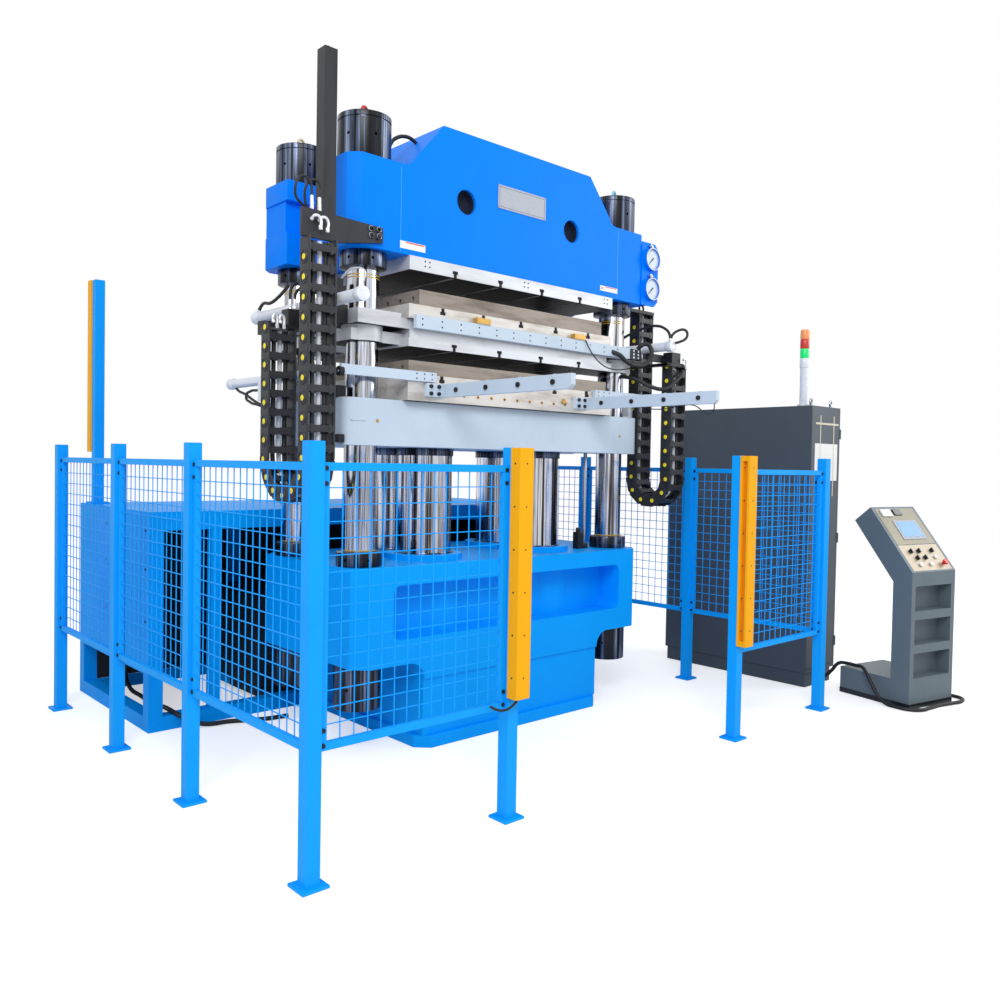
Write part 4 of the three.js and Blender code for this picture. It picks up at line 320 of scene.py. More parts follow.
# The base plate and the lower beam are one heavy foot: a flame-cut plate under a cast-steel beam, sprayed
# with several coats of glossy blue. The casting's corners are rounded and its long pocket shows two barrels.
# This blue and the crown's darker blue_paint are copies of one paint, set apart as painted light and shade.
cast_blue = worked_material("cast_blue", "00A4FF", "0094F0", 0.35, 0.4, 0.0, 2.2, 60, 0.05, shine=0.1)
CASTING_EDGE = 0.012
PLATE_EDGE = 0.004
SMOOTH_ANGLE = math.radians(30)
BEVEL_ANGLE = math.radians(35)


def apply_modifiers(piece):
    bpy.context.view_layer.objects.active = piece
    for modifier in list(piece.modifiers):
        bpy.ops.object.modifier_apply(modifier=modifier.name)


def round_edges(piece, width, segments=3):
    bevel = piece.modifiers.new("edge", "BEVEL")
    bevel.width = width
    bevel.segments = segments
    bevel.limit_method = "ANGLE"
    bevel.angle_limit = BEVEL_ANGLE
    bevel.use_clamp_overlap = True
    apply_modifiers(piece)


def even_shading(piece):
    """Smooth curves and rounded edges, with every flat face shaded flat."""
    bpy.ops.object.shade_smooth_by_angle(angle=SMOOTH_ANGLE)
    flat = piece.modifiers.new("flat", "WEIGHTED_NORMAL")
    flat.keep_sharp = True
    flat.weight = 80
    apply_modifiers(piece)


def recast(node, name, material, edge=PLATE_EDGE, body="press_frame", segments=3):
    """A copy of a CAD piece with its faces merged, its edges rounded and its curves smooth."""
    deselect()
    source = nodes[node]
    source.select_set(True)
    bpy.context.view_layer.objects.active = source
    bpy.ops.object.duplicate()
    piece = bpy.context.object
    piece.parent = None
    piece.matrix_world = Matrix.Identity(4)
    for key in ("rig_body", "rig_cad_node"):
        if key in piece:
            del piece[key]
    bpy.ops.object.mode_set(mode="EDIT")
    bpy.ops.mesh.select_all(action="SELECT")
    bpy.ops.mesh.remove_doubles(threshold=0.00002)
    bpy.ops.mesh.dissolve_limited(angle_limit=math.radians(1))
    bpy.ops.object.mode_set(mode="OBJECT")
    round_edges(piece, edge, segments)
    even_shading(piece)
    settle(piece, name, material, body)
    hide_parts(node)
    return piece


recast("base_plate", "floor_plate", cast_blue)
recast("lower_beam", "beam_casting", cast_blue, CASTING_EDGE)


# The rams are ground and chromed pistons, two pairs of them, each with a dark flange bolted under the
# moving platen. Upright streaks in their chrome stand for what it would mirror in a workshop.
RAM_SIDES = 72


def reflection_streak_group():
    """Upright streaks of painted reflection along a round bar, as one value from dark to bright."""
    group, start, end = new_group("upright streaks", {"Scale": "Float"}, {"Streak": "Float"})
    place = add_node(group, "TexCoord")
    flat = add_node(group, "VectorMath", (place, "Object"), (1, 1, 0.012), operation="MULTIPLY")
    noise = add_node(group, "TexNoise", (flat, 0), Scale=(start, "Scale"), Detail=4, Roughness=0.62)
    spread = add_node(group, "MapRange", (noise, "Fac"), From_Min=0.3, From_Max=0.7)
    feed(end, "Streak", (spread, "Result"))
    return group


REFLECTION_STREAKS = reflection_streak_group()


def reflection_painted_metal(name, stops, scale, rough, metallic):
    """Turned metal whose colour runs through the stops from streak to streak, as painted reflections."""
    material = new_material(name, stops[-1][1], rough, metallic)
    tree = material.node_tree
    streaks = add_node(tree, "Group", node_tree=REFLECTION_STREAKS, Scale=scale)
    ramp = add_node(tree, "ValToRGB", (streaks, "Streak"))
    marks = ramp.color_ramp.elements
    for mark, (spot, code) in zip(marks, (stops[0], stops[-1])):
        mark.position = spot
        mark.color = linear(code)
    for spot, code in stops[1:-1]:
        marks.new(spot).color = linear(code)
    feed(tree.nodes["Principled BSDF"], "Base Color", (ramp, "Color"))
    return material


CHROME_REFLECTION_STOPS = [
    (0.0, "1F1E20"), (0.2, "504C4A"), (0.29, "8F8B88"), (0.37, "C6C9D0"), (0.47, "E9ECF3"),
    (0.55, "98A8CE"), (0.61, "DCE0EA"), (0.7, "77726B"), (0.8, "BEC2CA"), (1.0, "3A3836"),
]
# The black steel's bluish grey streaks are painted reflections too.
BLACK_REFLECTION_STOPS = [
    (0.0, "141518"), (0.45, "2B2D32"), (0.56, "5D6A84"), (0.62, "32363E"), (0.74, "93A3C2"),
    (0.8, "3E434D"), (1.0, "5A6270"),
]
chrome = reflection_painted_metal("ground_chrome", CHROME_REFLECTION_STOPS, 30, 0.14, 1.0)
black_steel = reflection_painted_metal("black_steel", BLACK_REFLECTION_STOPS, 26, 0.32, 0.8)


def bar(start, end, radius, sides=32, edge=0.0):
    """A round bar between two points, with its rims rounded."""
    a = Vector(start)
    b = Vector(end)
    deselect()
    turn = (b - a).to_track_quat("Z", "Y").to_euler()
    bpy.ops.mesh.primitive_cylinder_add(
        vertices=sides, radius=radius, depth=(b - a).length, location=(a + b) / 2, rotation=turn
    )
    piece = bpy.context.object
    bpy.ops.object.transform_apply()
    if edge:
        round_edges(piece, edge, 2)
    bpy.ops.object.shade_smooth_by_angle(angle=SMOOTH_ANGLE)
    return piece


def slab(low, high, edge=0.002, segments=2):
    """A block between two opposite corners, with its edges rounded."""
    a = Vector(low)
    b = Vector(high)
    deselect()
    bpy.ops.mesh.primitive_cube_add(size=1, location=(a + b) / 2)
    piece = bpy.context.object
    piece.scale = [abs(side) for side in b - a]
    bpy.ops.object.transform_apply()
    if edge:
        round_edges(piece, edge, segments)
        even_shading(piece)
    return piece


CORNERS = ("front_left", "front_right", "rear_left", "rear_right")
RAM_RADIUS = 0.157
RAM_FLANGE_HEIGHT = 0.042
for place in CORNERS:
    low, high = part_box("ram_" + place)
    x, y, _ = (low + high) / 2
    seat = high.z - RAM_FLANGE_HEIGHT
    shaft = bar((x, y, low.z), (x, y, seat), RAM_RADIUS, RAM_SIDES)
    settle(shaft, "piston_" + place, chrome, "lifting_platen")
    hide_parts("ram_" + place)
    flange = bar((x, y, seat), (x, y, high.z), (high.x - low.x) / 2, RAM_SIDES, 0.004)
    settle(flange, "piston_flange_" + place, black_steel, "lifting_platen")
    wiper = bar((x, y, 1.004), (x, y, 1.012), RAM_RADIUS + 0.012, RAM_SIDES, 0.002)
    settle(wiper, "piston_wiper_" + place, black_steel)


# The four tie columns are chromed bars that carry the whole load. Blackened round nuts hold them under the
# beam's wings and on top of it, and a collar and a tall top nut clamp the crown between them.
COLUMN_SIDES = 64
COLUMN_RADIUS = 0.085
BEAM_TOP = 0.976
BEAM_UNDER = 0.466
CROWN_UNDER = 2.589
SLEEVE_TOP = 3.047
HOLE_RADIUS = 0.008
column_places = {}
for place in CORNERS:
    low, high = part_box("column_" + place)
    column_places[place] = ((low.x + high.x) / 2, (low.y + high.y) / 2)


def smooth(piece):
    """Shades a piece smooth after cuts, when it may no longer be the selected one."""
    together([piece])
    bpy.ops.object.shade_smooth_by_angle(angle=SMOOTH_ANGLE)
    return piece


def carve(piece, cutter):
    """Cuts one piece out of another and drops the cutter."""
    cut = piece.modifiers.new("cut", "BOOLEAN")
    cut.object = cutter
    cut.solver = "EXACT"
    apply_modifiers(piece)
    bpy.data.objects.remove(cutter)


def drilled_nut(x, y, z0, z1, radius, holes, hole_height, groove=None):
    """A round nut with tommy-bar holes round it and, on the tall ones, a groove under the rim."""
    nut = bar((x, y, z0), (x, y, z1), radius, COLUMN_SIDES, 0.003)
    middle = Vector((x, y, hole_height))
    for i in range(holes):
        angle = (i + 0.35) * math.tau / holes
        out = Vector((math.cos(angle), math.sin(angle), 0)) * radius
        carve(nut, bar(middle + out * 0.86, middle + out * 1.1, HOLE_RADIUS, 12))
    if groove:
        ring = bar((x, y, groove), (x, y, groove + 0.008), radius + 0.01, COLUMN_SIDES)
        core = bar((x, y, groove - 0.01), (x, y, groove + 0.018), radius - 0.005, COLUMN_SIDES)
        carve(ring, core)
        carve(nut, ring)
    return smooth(nut)


amber_grease = worked_material("amber_grease", "C9A63C", "8E7430", 0.4, 0.35)
for place, (x, y) in column_places.items():
    low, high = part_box("column_" + place)
    shaft = bar((x, y, low.z), (x, y, high.z), COLUMN_RADIUS, COLUMN_SIDES, 0.004)
    settle(shaft, "tie_bar_" + place, chrome)
    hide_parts("column_" + place)
    foot = drilled_nut(x, y, low.z, BEAM_UNDER, 0.1245, 4, low.z + 0.11)
    ring = drilled_nut(x, y, BEAM_TOP, BEAM_TOP + 0.074, 0.119, 6, BEAM_TOP + 0.037)
    collar = drilled_nut(x, y, CROWN_UNDER - 0.08, CROWN_UNDER, 0.122, 6, CROWN_UNDER - 0.042)
    settle([foot, ring, collar], "column_nuts_" + place, black_steel)
    low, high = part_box("top_nut_" + place)
    nut = drilled_nut(x, y, low.z, high.z, 0.138, 6, low.z + 0.114, high.z - 0.034)
    settle(nut, "crown_nut_" + place, black_steel)
    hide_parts("top_nut_" + place)
    bands = [
        bar((x, y, z), (x, y, z + 0.006), COLUMN_RADIUS + 0.0008, COLUMN_SIDES, 0.0004)
        for z in (2.452, 2.466, 1.056)
    ]
    settle(bands, "grease_band_" + place, amber_grease)


# A forged lifting eye is screwed into each top nut. They were painted by hand: the front ones red and pale
# blue, the rear ones cream.
EYE_RADIUS = 0.027
EYE_THICKNESS = 0.008
EYE_COLOURS = ("C4383A", "8FD0F0", "D8CFB0", "D8CFB0")


def torus(place, turn, radius, thickness, around, across):
    deselect()
    bpy.ops.mesh.primitive_torus_add(
        location=place,
        rotation=turn,
        major_radius=radius,
        minor_radius=thickness,
        major_segments=around,
        minor_segments=across,
    )
    bpy.ops.object.transform_apply()
    bpy.ops.object.shade_smooth_by_angle(angle=SMOOTH_ANGLE)
    return bpy.context.object


def lifting_eye(x, y, z, size=1.0, turn=0.4):
    middle = (x, y, z + (EYE_RADIUS + EYE_THICKNESS) * size)
    ring = torus(middle, (math.pi / 2, 0, turn), EYE_RADIUS * size, EYE_THICKNESS * size, 28, 10)
    return [ring, bar((x, y, z), (x, y, z + 0.008 * size), 0.02 * size, 20, 0.002)]


for (place, (x, y)), colour in zip(column_places.items(), EYE_COLOURS):
    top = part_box("top_nut_" + place)[1].z
    eye_paint = worked_material("eye_paint_" + place, colour, "6B5A50", 0.4, 0.4)
    settle(lifting_eye(x, y, top), "lifting_eye_" + place, eye_paint)


# The crown is a beam welded from thick plate, with sloped shoulders, two round ports and a sleeve round each
# column. It carries a bare nameplate, two bare labels and the seams where the sleeves are welded on.
CROWN_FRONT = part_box("crown")[0].y + 0.003
SEAM_X = 0.853
PORT_X = 0.417
PORT_Z = 2.94
PORT_RADIUS = 0.07
RECESS_LOW = 2.762
RECESS_HIGH = 2.936
# The crown's blue is a darker copy of the casting's paint: the difference is painted shade.
blue_paint = worked_material("blue_paint", "0084FF", "007AF2", 0.35, 0.4, 0.0, 2.2, 60, 0.03, shine=0.07)
crown = recast("crown", "crown_weldment", blue_paint, 0.006)
for far_x, far_y in ((-0.9, 0.208), (-1.137, 0.44)):
    carve(crown, slab((-1.17, 0.15, RECESS_LOW), (far_x, far_y, RECESS_HIGH), 0))


def on_crown(x0, x1, z0, z1, front, back, edge=0.0003):
    """A thin piece on the crown's front face: front and back are set off from that face."""
    return slab((x0, CROWN_FRONT + front, z0), (x1, CROWN_FRONT + back, z1), edge)


seam_paint = worked_material("seam_paint", "3FA9FF", "0E78DC", 0.4, 0.35)
seams = [
    on_crown(x - 0.0014, x + 0.0014, CROWN_UNDER + 0.01, SLEEVE_TOP - 0.02, -0.0012, 0.01, 0.0004)
    for x in (-SEAM_X, SEAM_X)
]
settle(seams, "crown_seams", seam_paint)
# Dark navy, painted shade for the insides of the ports.
port_shade = worked_material("port_shade", "0A1730", "050B18", 0.5, 0.8)


def port_tube(x, start, end, radius, bore_end):
    """A turned tube round a port's axis, closed at the far end where its bore stops short."""
    start, end, bore_end = (CROWN_FRONT + y for y in (start, end, bore_end))
    outer = bar((x, start, PORT_Z), (x, end, PORT_Z), radius, 56, 0.0005)
    carve(outer, bar((x, start - 0.01, PORT_Z), (x, bore_end, PORT_Z), radius - 0.003, 56))
    return smooth(outer)


rims = [port_tube(x, -0.001, 0.018, PORT_RADIUS, 0.05) for x in (-PORT_X, PORT_X)]
settle(rims, "port_rims", blue_paint)
# The ports' insides are lined with dark navy, painted shade in the recess.
hollows = [port_tube(x, 0.017, 0.059, PORT_RADIUS - 0.0005, 0.055) for x in (-PORT_X, PORT_X)]
settle(hollows, "port_hollows", port_shade)
plate_metal = worked_material("nameplate_metal", "A9AEB8", "8C93A0", 0.6, 0.5, 0.4, 40, 200, 0.05, (1, 1, 6))
plate_border = worked_material("nameplate_border", "5E6570", "484E58", 0.5, 0.5, 0.4)
label_white = worked_material("label_white", "F2F2F0", "D8D8D4", 0.3, 0.5)
label_orange = worked_material("label_orange", "E8703A", "D05A28", 0.3, 0.5)
NAMEPLATE_Z = 2.959
plate = [on_crown(-0.189, 0.189, NAMEPLATE_Z, NAMEPLATE_Z + 0.132, -0.0045, -0.001, 0.001)]
for x in (-0.184, 0.184):
    for z in (NAMEPLATE_Z + 0.006, NAMEPLATE_Z + 0.126):
        plate.append(bar((x, CROWN_FRONT - 0.007, z), (x, CROWN_FRONT - 0.002, z), 0.004, 12, 0.001))
settle(plate, "blank_nameplate", plate_metal)
border = [
    on_crown(x0, x1, NAMEPLATE_Z + z0, NAMEPLATE_Z + z1, -0.0052, -0.003)
    for x0, x1, z0, z1 in (
        (-0.178, 0.178, 0.01, 0.0122),
        (-0.178, 0.178, 0.12, 0.1222),
        (-0.178, -0.1758, 0.0122, 0.12),
        (0.1758, 0.178, 0.0122, 0.12),
    )
]
settle(border, "nameplate_border", plate_border)
labels = [
    on_crown(-0.856, -0.694, 2.617, 2.655, -0.0015, 0.001),
    on_crown(0.69, 0.856, 2.625, 2.657, -0.0015, 0.001),
]
settle(labels, "blank_labels", label_white)
strips = [
    on_crown(-0.82, -0.7, 2.646, 2.653, -0.0022, -0.001),
    on_crown(0.7, 0.714, 2.634, 2.648, -0.0022, -0.001),
    on_crown(0.735, 0.845, 2.65, 2.655, -0.0022, -0.001),
]
settle(strips, "label_strips", label_orange)


# The gauge plate is a bent blue plate before the chamfer of the right sleeve. It holds two pressure
# gauges with bright bezels, pale dials and black needles.
white_plastic = worked_material("white_plastic", "ECEEF0", "D5D8DB", 0.3, 0.35)
dial_white = worked_material("dial_white", "D9E4F0", "C6D2E0", 0.2, 0.45)
bezel_metal = worked_material("bezel_metal", "ABB2BC", "7F8792", 0.5, 0.25, 0.9)
ink = worked_material("dial_ink", "22262C", "3A3F47", 0.3, 0.5)
bracket_black = worked_material("bracket_black", "222428", "33363C", 0.5, 0.45, 0.3)
recast("gauge_plate", "gauge_bracket", blue_paint, 0.0015)
shelf = [
    slab((1.1555, -0.3405, 2.5685), (1.4125, -0.2515, 2.5915)),
    slab((1.149, -0.3405, 2.59), (1.158, -0.2515, 2.65)),
]
settle(shelf, "chain_hanger", bracket_black)
GAUGE_X = 1.177
GAUGE_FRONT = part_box("gauge_plate")[0].y
DIAL_Y = GAUGE_FRONT + 0.0135
STEM_Y = GAUGE_FRONT + 0.022


def repaint(node, material):
    """Gives a CAD piece that moves as it is its material."""
    nodes[node].data.materials.clear()
    nodes[node].data.materials.append(material)


for name, z in (("lower", 2.699), ("upper", 2.895)):
    bezel = torus((GAUGE_X, GAUGE_FRONT + 0.003, z), (math.pi / 2, 0, 0), 0.0705, 0.0045, 56, 10)
    settle(bezel, "gauge_bezel_" + name, bezel_metal)
    dial = bar((GAUGE_X, DIAL_Y, z), (GAUGE_X, DIAL_Y + 0.003, z), 0.0665, 48)
    settle(dial, "gauge_dial_" + name, dial_white)
    marks = []
    for i in range(28):
        angle = math.radians(225 - i * 10)
        reach = 0.053 if i % 3 == 0 else 0.057
        mark = slab((-0.0006, -0.0004, reach), (0.0006, 0.0004, 0.062), 0.0001, 1)
        mark.rotation_euler = (0, math.pi / 2 - angle, 0)
        mark.location = (GAUGE_X, DIAL_Y - 0.0003, z)
        bpy.ops.object.transform_apply()
        marks.append(mark)
    settle(marks, "gauge_marks_" + name, ink)
    screw_z = z + 0.086
    stem = [
        bar((GAUGE_X, STEM_Y, z + 0.071), (GAUGE_X, STEM_Y, z + 0.1), 0.01, 16, 0.001),
        bar((GAUGE_X - 0.022, STEM_Y, screw_z), (GAUGE_X + 0.022, STEM_Y, screw_z), 0.007, 12, 0.001),
        bar((GAUGE_X, STEM_Y - 0.01, screw_z), (GAUGE_X, STEM_Y + 0.004, screw_z), 0.011, 6, 0.001),
    ]
    settle(stem, "gauge_stem_" + name, bezel_metal)
    repaint("gauge_needle_" + name, ink)


# The hot plates and moulds are machined from steel slabs, bolted or clamped through T-slots. Heat has
# browned the beds and moulds. The last ground faces are pale, and the undersides are painted black as shade.
DOWN_SHADE_START = -0.9
DOWN_SHADE_END = -0.6


def plate_material(name, code, worn, wear, shade_code):
    """Machined steel with painted shade: it goes dark where the face looks down."""
    material = worked_material(name, code, worn, wear, 0.42, 0.35, 5, 140, 0.06, (0.5, 1.5, 3), 0.12)
    tree = material.node_tree
    shader = tree.nodes["Principled BSDF"]
    surface = shader.inputs["Base Color"].links[0].from_node
    facing = add_node(tree, "NewGeometry")
    parts = add_node(tree, "SeparateXYZ", (facing, "Normal"))
    # Painted shade: faces whose normal points down take the dark shade colour.
    down = add_node(tree, "MapRange", (parts, "Z"), From_Min=DOWN_SHADE_END, From_Max=DOWN_SHADE_START)
    mix = add_node(
        tree, "Mix", data_type="RGBA", Factor=(down, "Result"), A=(surface, "Color"), B=linear(shade_code)
    )
    feed(shader, "Base Color", (mix, "Result"))
    return material


pale_plate = plate_material("pale_plate", "D2D5DA", "A9A6A2", 0.5, "121316")
heated_plate = plate_material("heated_plate", "D3CFC9", "A2968A", 0.8, "1A1715")
heated_mould = plate_material("heated_mould", "958C83", "6A6056", 0.9, "171412")
recast("upper_hot_plate", "upper_heating_plate", pale_plate, 0.002, segments=2)
for node, name, material, body in (
    ("middle_hot_plate", "middle_heating_plate", heated_plate, "middle_level"),
    ("lower_hot_plate", "lower_heating_plate", heated_plate, "lifting_platen"),
    ("upper_mould", "upper_mould_block", heated_mould, "upper_shuttle"),
    ("lower_mould", "lower_mould_block", heated_mould, "lower_shuttle"),
):
    recast(node, name, material, 0.002, body, 2)
screw_steel = worked_material("screw_steel", "2B2D31", "4A4D52", 0.4, 0.4, 0.7)
brass = worked_material("brass", "C79E55", "94723A", 0.6, 0.4, 0.6)
# A near-black for painted shade in the T-slots and in the screw sockets.
slot_shade = worked_material("slot_shade", "0E0F11", "1A1A1C", 0.4, 0.8)
PLATE_FRONT = -0.484
SLOT_STEP = 0.288
CLAMP_STEP = 0.33
SHADOW_FRONT = PLATE_FRONT + 0.004
SHADOW_BACK = PLATE_FRONT + 0.03
for name, count, step, mouth, into, body in (
    ("upper", 4, CLAMP_STEP, 2.515, 1, "press_frame"),
    ("bed", 5, SLOT_STEP, 2.342, -1, "middle_level"),
    ("middle", 4, CLAMP_STEP, 2.12, 1, "middle_level"),
    ("lower", 5, SLOT_STEP, 1.98, -1, "lifting_platen"),
):
    # Painted shade inside the front end of each T-slot: a dark neck and a dark head set back from the face.
    parts = []
    for i in range(count):
        x = (i - (count - 1) / 2) * step
        for half, start, end in ((0.0112, 0.0005, 0.0205), (0.0192, 0.0198, 0.0362)):
            low = (x - half, SHADOW_FRONT, mouth + into * start)
            high = (x + half, SHADOW_BACK, mouth + into * end)
            parts.append(slab(low, high, 0.0003))
    settle(parts, "slot_shadows_" + name, slot_shade, body)


def front_screws(places, radius=0.006, front=PLATE_FRONT, stand=0.003):
    return [bar((x, front - stand, z), (x, front + 0.002, z), radius, 12, 0.001) for x, z in places]


row = [(-0.42 + 0.1 * i, 1.885) for i in range(12)]
settle(front_screws(row, 0.009), "lower_plate_screws", brass, "lifting_platen")
# Dark discs in the brass screw heads are painted shade in their sockets.
socket_shade = front_screws(row, 0.005, PLATE_FRONT - 0.003, 0.001)
settle(socket_shade, "lower_plate_socket_shade", slot_shade, "lifting_platen")
nozzle = [
    slab((0.348, PLATE_FRONT - 0.014, 1.89), (0.386, PLATE_FRONT + 0.001, 1.908), 0.003),
    bar((0.367, PLATE_FRONT - 0.008, 1.904), (0.367, PLATE_FRONT - 0.008, 1.921), 0.006, 16, 0.001),
]
settle(nozzle, "brass_nozzle", brass, "lifting_platen")
pairs = [(x + dx, z) for x in (-0.7, 0.02, 0.72) for dx in (0, 0.03) for z in (2.57, 2.545)]
settle(front_screws(pairs, 0.004), "upper_plate_screws", screw_steel)


# The middle platen floats between the two daylights. Split guide blocks clasp the columns at its corners,
# and a drilled bar with two brass blocks is screwed across its front.
pale_paint = worked_material("pale_paint", "C8D7E5", "AFBFD1", 0.35, 0.4, 0.0, 2.5, 70, 0.03, shine=0.25)
recast("middle_platen", "floating_platen", pale_plate, 0.003, "middle_level")
recast("cross_bar", "drilled_bar", pale_paint, 0.0015, "middle_level")
BAR_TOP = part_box("cross_bar")[0].z + 0.07
BAR_FRONT = -0.509
BLOCK_FRONT = -0.515
holes = [(-0.73 + i * 0.13, z) for i in range(13) for z in (BAR_TOP - 0.02, BAR_TOP - 0.05)]
settle(front_screws(holes, 0.005, BAR_FRONT, 0.001), "bar_screws", screw_steel, "middle_level")
blocks = [
    slab((x - 0.0505, BLOCK_FRONT - 0.002, BAR_TOP), (x + 0.0505, PLATE_FRONT, BAR_TOP + 0.034), 0.004)
    for x in (-0.312, 0.47)
]
settle(blocks, "brass_blocks", brass, "middle_level")
end_block = slab((0.955, BLOCK_FRONT, BAR_TOP - 0.074), (1.062, PLATE_FRONT, BAR_TOP - 0.004), 0.003)
settle(end_block, "bar_end_block", screw_steel, "middle_level")
end_screws = [(x, BAR_TOP - drop) for x in (0.985, 1.032) for drop in (0.018, 0.039, 0.06)]
settle(front_screws(end_screws, 0.0085, BLOCK_FRONT), "bar_end_screws", bezel_metal, "middle_level")


# The moving platen is a thick fabricated plate, sprayed pale grey-blue, with round corners. It rides on the
# four pistons and slides on the four columns.
recast("moving_platen", "lifting_slab", pale_paint, 0.006, "lifting_platen")
PLATEN_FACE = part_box("moving_platen")[0].y
lip = slab((-1.115, PLATEN_FACE - 0.004, 1.722), (-1.02, PLATEN_FACE + 0.03, 1.73), 0.003)
settle(lip, "platen_lip", pale_paint, "lifting_platen")
plugs = [
    bar((x, PLATEN_FACE - 0.003, z), (x, PLATEN_FACE + 0.003, z), 0.009, 12, 0.001)
    for x, z in ((-0.955, 1.727), (0.953, 1.715))
]
settle(plugs, "platen_plugs", brass, "lifting_platen")
stop_blocks = [
    slab((-1.174, -0.421, 1.612), (-1.138, -0.355, 1.652), 0.003),
    slab((-1.15, -0.36, 1.84), (-1.095, -0.3, 1.9), 0.003),
]
settle(stop_blocks, "platen_stop_blocks", screw_steel, "lifting_platen")


# Two rail arms bolted to the lower hot plate carry the mould when it is drawn out. Each has four rollers on
# axles whose black heads show on the side. A thin lead is clipped under the right one.
def tube_through(name, points, radius):
    """A round line through points, as a mesh."""
    together([line_through(name, points, radius)])
    bpy.ops.object.convert(target="MESH")
    return bpy.context.object


def soft_line(name, radius, points, body="press_frame", material=rubber):
    """A hose through points, as a closed tube with its own mesh."""
    return settle(tube_through(name, points, radius), name, material, body)


AXLE_Z = 1.901
AXLE_STEP = 0.235
for side in ("left", "right"):
    recast("rail_arm_" + side, "arm_" + side, pale_paint, 0.002, "lifting_platen")
    low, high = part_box("rail_arm_" + side)
    arm_left = high.x - 0.03
    heads = []
    for i in range(4):
        y = PLATE_FRONT - 0.14 - i * AXLE_STEP
        heads.append(bar((arm_left - 0.0085, y, AXLE_Z), (arm_left + 0.002, y, AXLE_Z), 0.013, 24, 0.002))
    settle(heads, "axle_heads_" + side, screw_steel, "lifting_platen")
    face = PLATE_FRONT - 0.022
    bolts = [
        bar((x, face - 0.0115, z), (x, face, z), 0.0105, 20, 0.0015)
        for x in (arm_left - 0.076, arm_left - 0.024)
        for z in (AXLE_Z - 0.019, AXLE_Z + 0.019)
    ]
    settle(bolts, "arm_bolts_" + side, screw_steel, "lifting_platen")
    tip = (high.x - 0.015, low.y + 0.02)
    if side == "left":
        pin = bar((*tip, 1.93), (*tip, 1.964), 0.004, 14, 0.001)
        settle(pin, "stop_pin", screw_steel, "lifting_platen")
lead = [
    (0.52, 1.866), (0.45, 1.852), (0.34, 1.85), (0.24, 1.864), (0.148, 1.86), (0.09, 1.826),
    (0.049, 1.812), (0.026, 1.828), (0.02, 1.866),
]
soft_line("arm_lead", 0.003, [(high.x - 0.015, low.y + dy, z) for dy, z in lead], "lifting_platen")


# The shuttle cylinders are slim air cylinders with bright barrels and square-cut caps. Black brackets hold
# the upper pair beside the middle platen's guide blocks and carry the moving ends of the cable chains.
# The lower pair beside the moving platen pulls the mould by two bars with rod eyes.
white_barrel = worked_material("white_barrel", "E6EBF2", "C2C8D0", 0.4, 0.28, 0.1)
LOWER_ROD_X = 1.215
LOWER_ROD_Z = 1.955
UPPER_ROD_X = 1.2
UPPER_ROD_Z = 2.31
BARREL_RADIUS = 0.03
BARREL_FRONT = -0.668
BARREL_BACK = 0.413
CAP = 0.045
EAR_END = 1.094
SADDLE_Y = 0.323
SADDLE_TOP = UPPER_ROD_Z - 0.02
SHELF_LOW = 2.185
SHELF_HIGH = 2.205


def shuttle_cylinder(x, z):
    """A round barrel between two caps, the front cap held on by a ring of screws."""
    front, back = BARREL_FRONT, BARREL_BACK
    parts = [bar((x, front + CAP / 2, z), (x, back - CAP / 2, z), BARREL_RADIUS, 40, 0.001)]
    for start in (front, back - CAP):
        parts.append(bar((x, start, z), (x, start + CAP, z), BARREL_RADIUS + 0.0062, 40, 0.003))
    for i in range(4):
        angle = math.radians(45 + 90 * i)
        sx = x + math.cos(angle) * (BARREL_RADIUS - 0.006)
        sz = z + math.sin(angle) * (BARREL_RADIUS - 0.006)
        parts.append(bar((sx, front - 0.003, sz), (sx, front + 0.004, sz), 0.004, 10, 0.001))
    return parts


for side, sign, chain_y in (("left", -1, -0.102), ("right", 1, -0.581)):
    barrel = shuttle_cylinder(sign * UPPER_ROD_X, UPPER_ROD_Z)
    barrel = settle(barrel, "upper_cylinder_barrel_" + side, white_barrel, "middle_level")
    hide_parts("upper_cylinder_" + side)
    inner = sign * UPPER_ROD_X
    arm = sign * 1.24
    reach = (chain_y - 0.043, chain_y + 0.043, -SADDLE_Y - 0.045, -SADDLE_Y + 0.045)
    saddles = [
        slab((sign * EAR_END, y - 0.045, 2.212), (sign * 1.216, y + 0.045, UPPER_ROD_Z - 0.004), 0.003)
        for y in (-SADDLE_Y, SADDLE_Y)
    ]
    saddles += [
        slab((inner, reach[0], SHELF_LOW), (sign * 1.411, reach[1], SHELF_HIGH), 0.003),
        slab((inner, min(reach), SHELF_LOW + 0.0005), (arm, max(reach), SHELF_HIGH - 0.0005), 0.003),
        slab((inner, -SADDLE_Y - 0.0445, SHELF_LOW + 0.001), (arm, -SADDLE_Y + 0.0445, SADDLE_TOP), 0.003),
    ]
    settle(saddles, "chain_bracket_" + side, bracket_black, "middle_level")
    cylinder = "lower_cylinder_"
    recast(cylinder + side, cylinder + "body_" + side, white_barrel, 0.002, "lifting_platen")
    recast("pull_bar_" + side, "mould_pull_bar_" + side, pale_paint, 0.002, "lower_shuttle")
    x = sign * LOWER_ROD_X
    eye = bar((x - 0.0135, -0.495, LOWER_ROD_Z), (x + 0.0135, -0.495, LOWER_ROD_Z), 0.0235, 36, 0.002)
    settle(eye, "rod_eye_" + side, screw_steel, "lower_shuttle")
    pin = bar((x - 0.017, -0.495, LOWER_ROD_Z), (x + 0.017, -0.495, LOWER_ROD_Z), 0.009, 24, 0.001)
    settle(pin, "rod_pin_" + side, bezel_metal, "lower_shuttle")
    bolts = [(sign * (0.66 + 0.05 * i), z) for i in range(3) for z in (1.955, 1.98)]
    heads = front_screws(bolts, 0.004, -0.506, 0.002)
    settle(heads, "pull_bar_screws_" + side, screw_steel, "lower_shuttle")


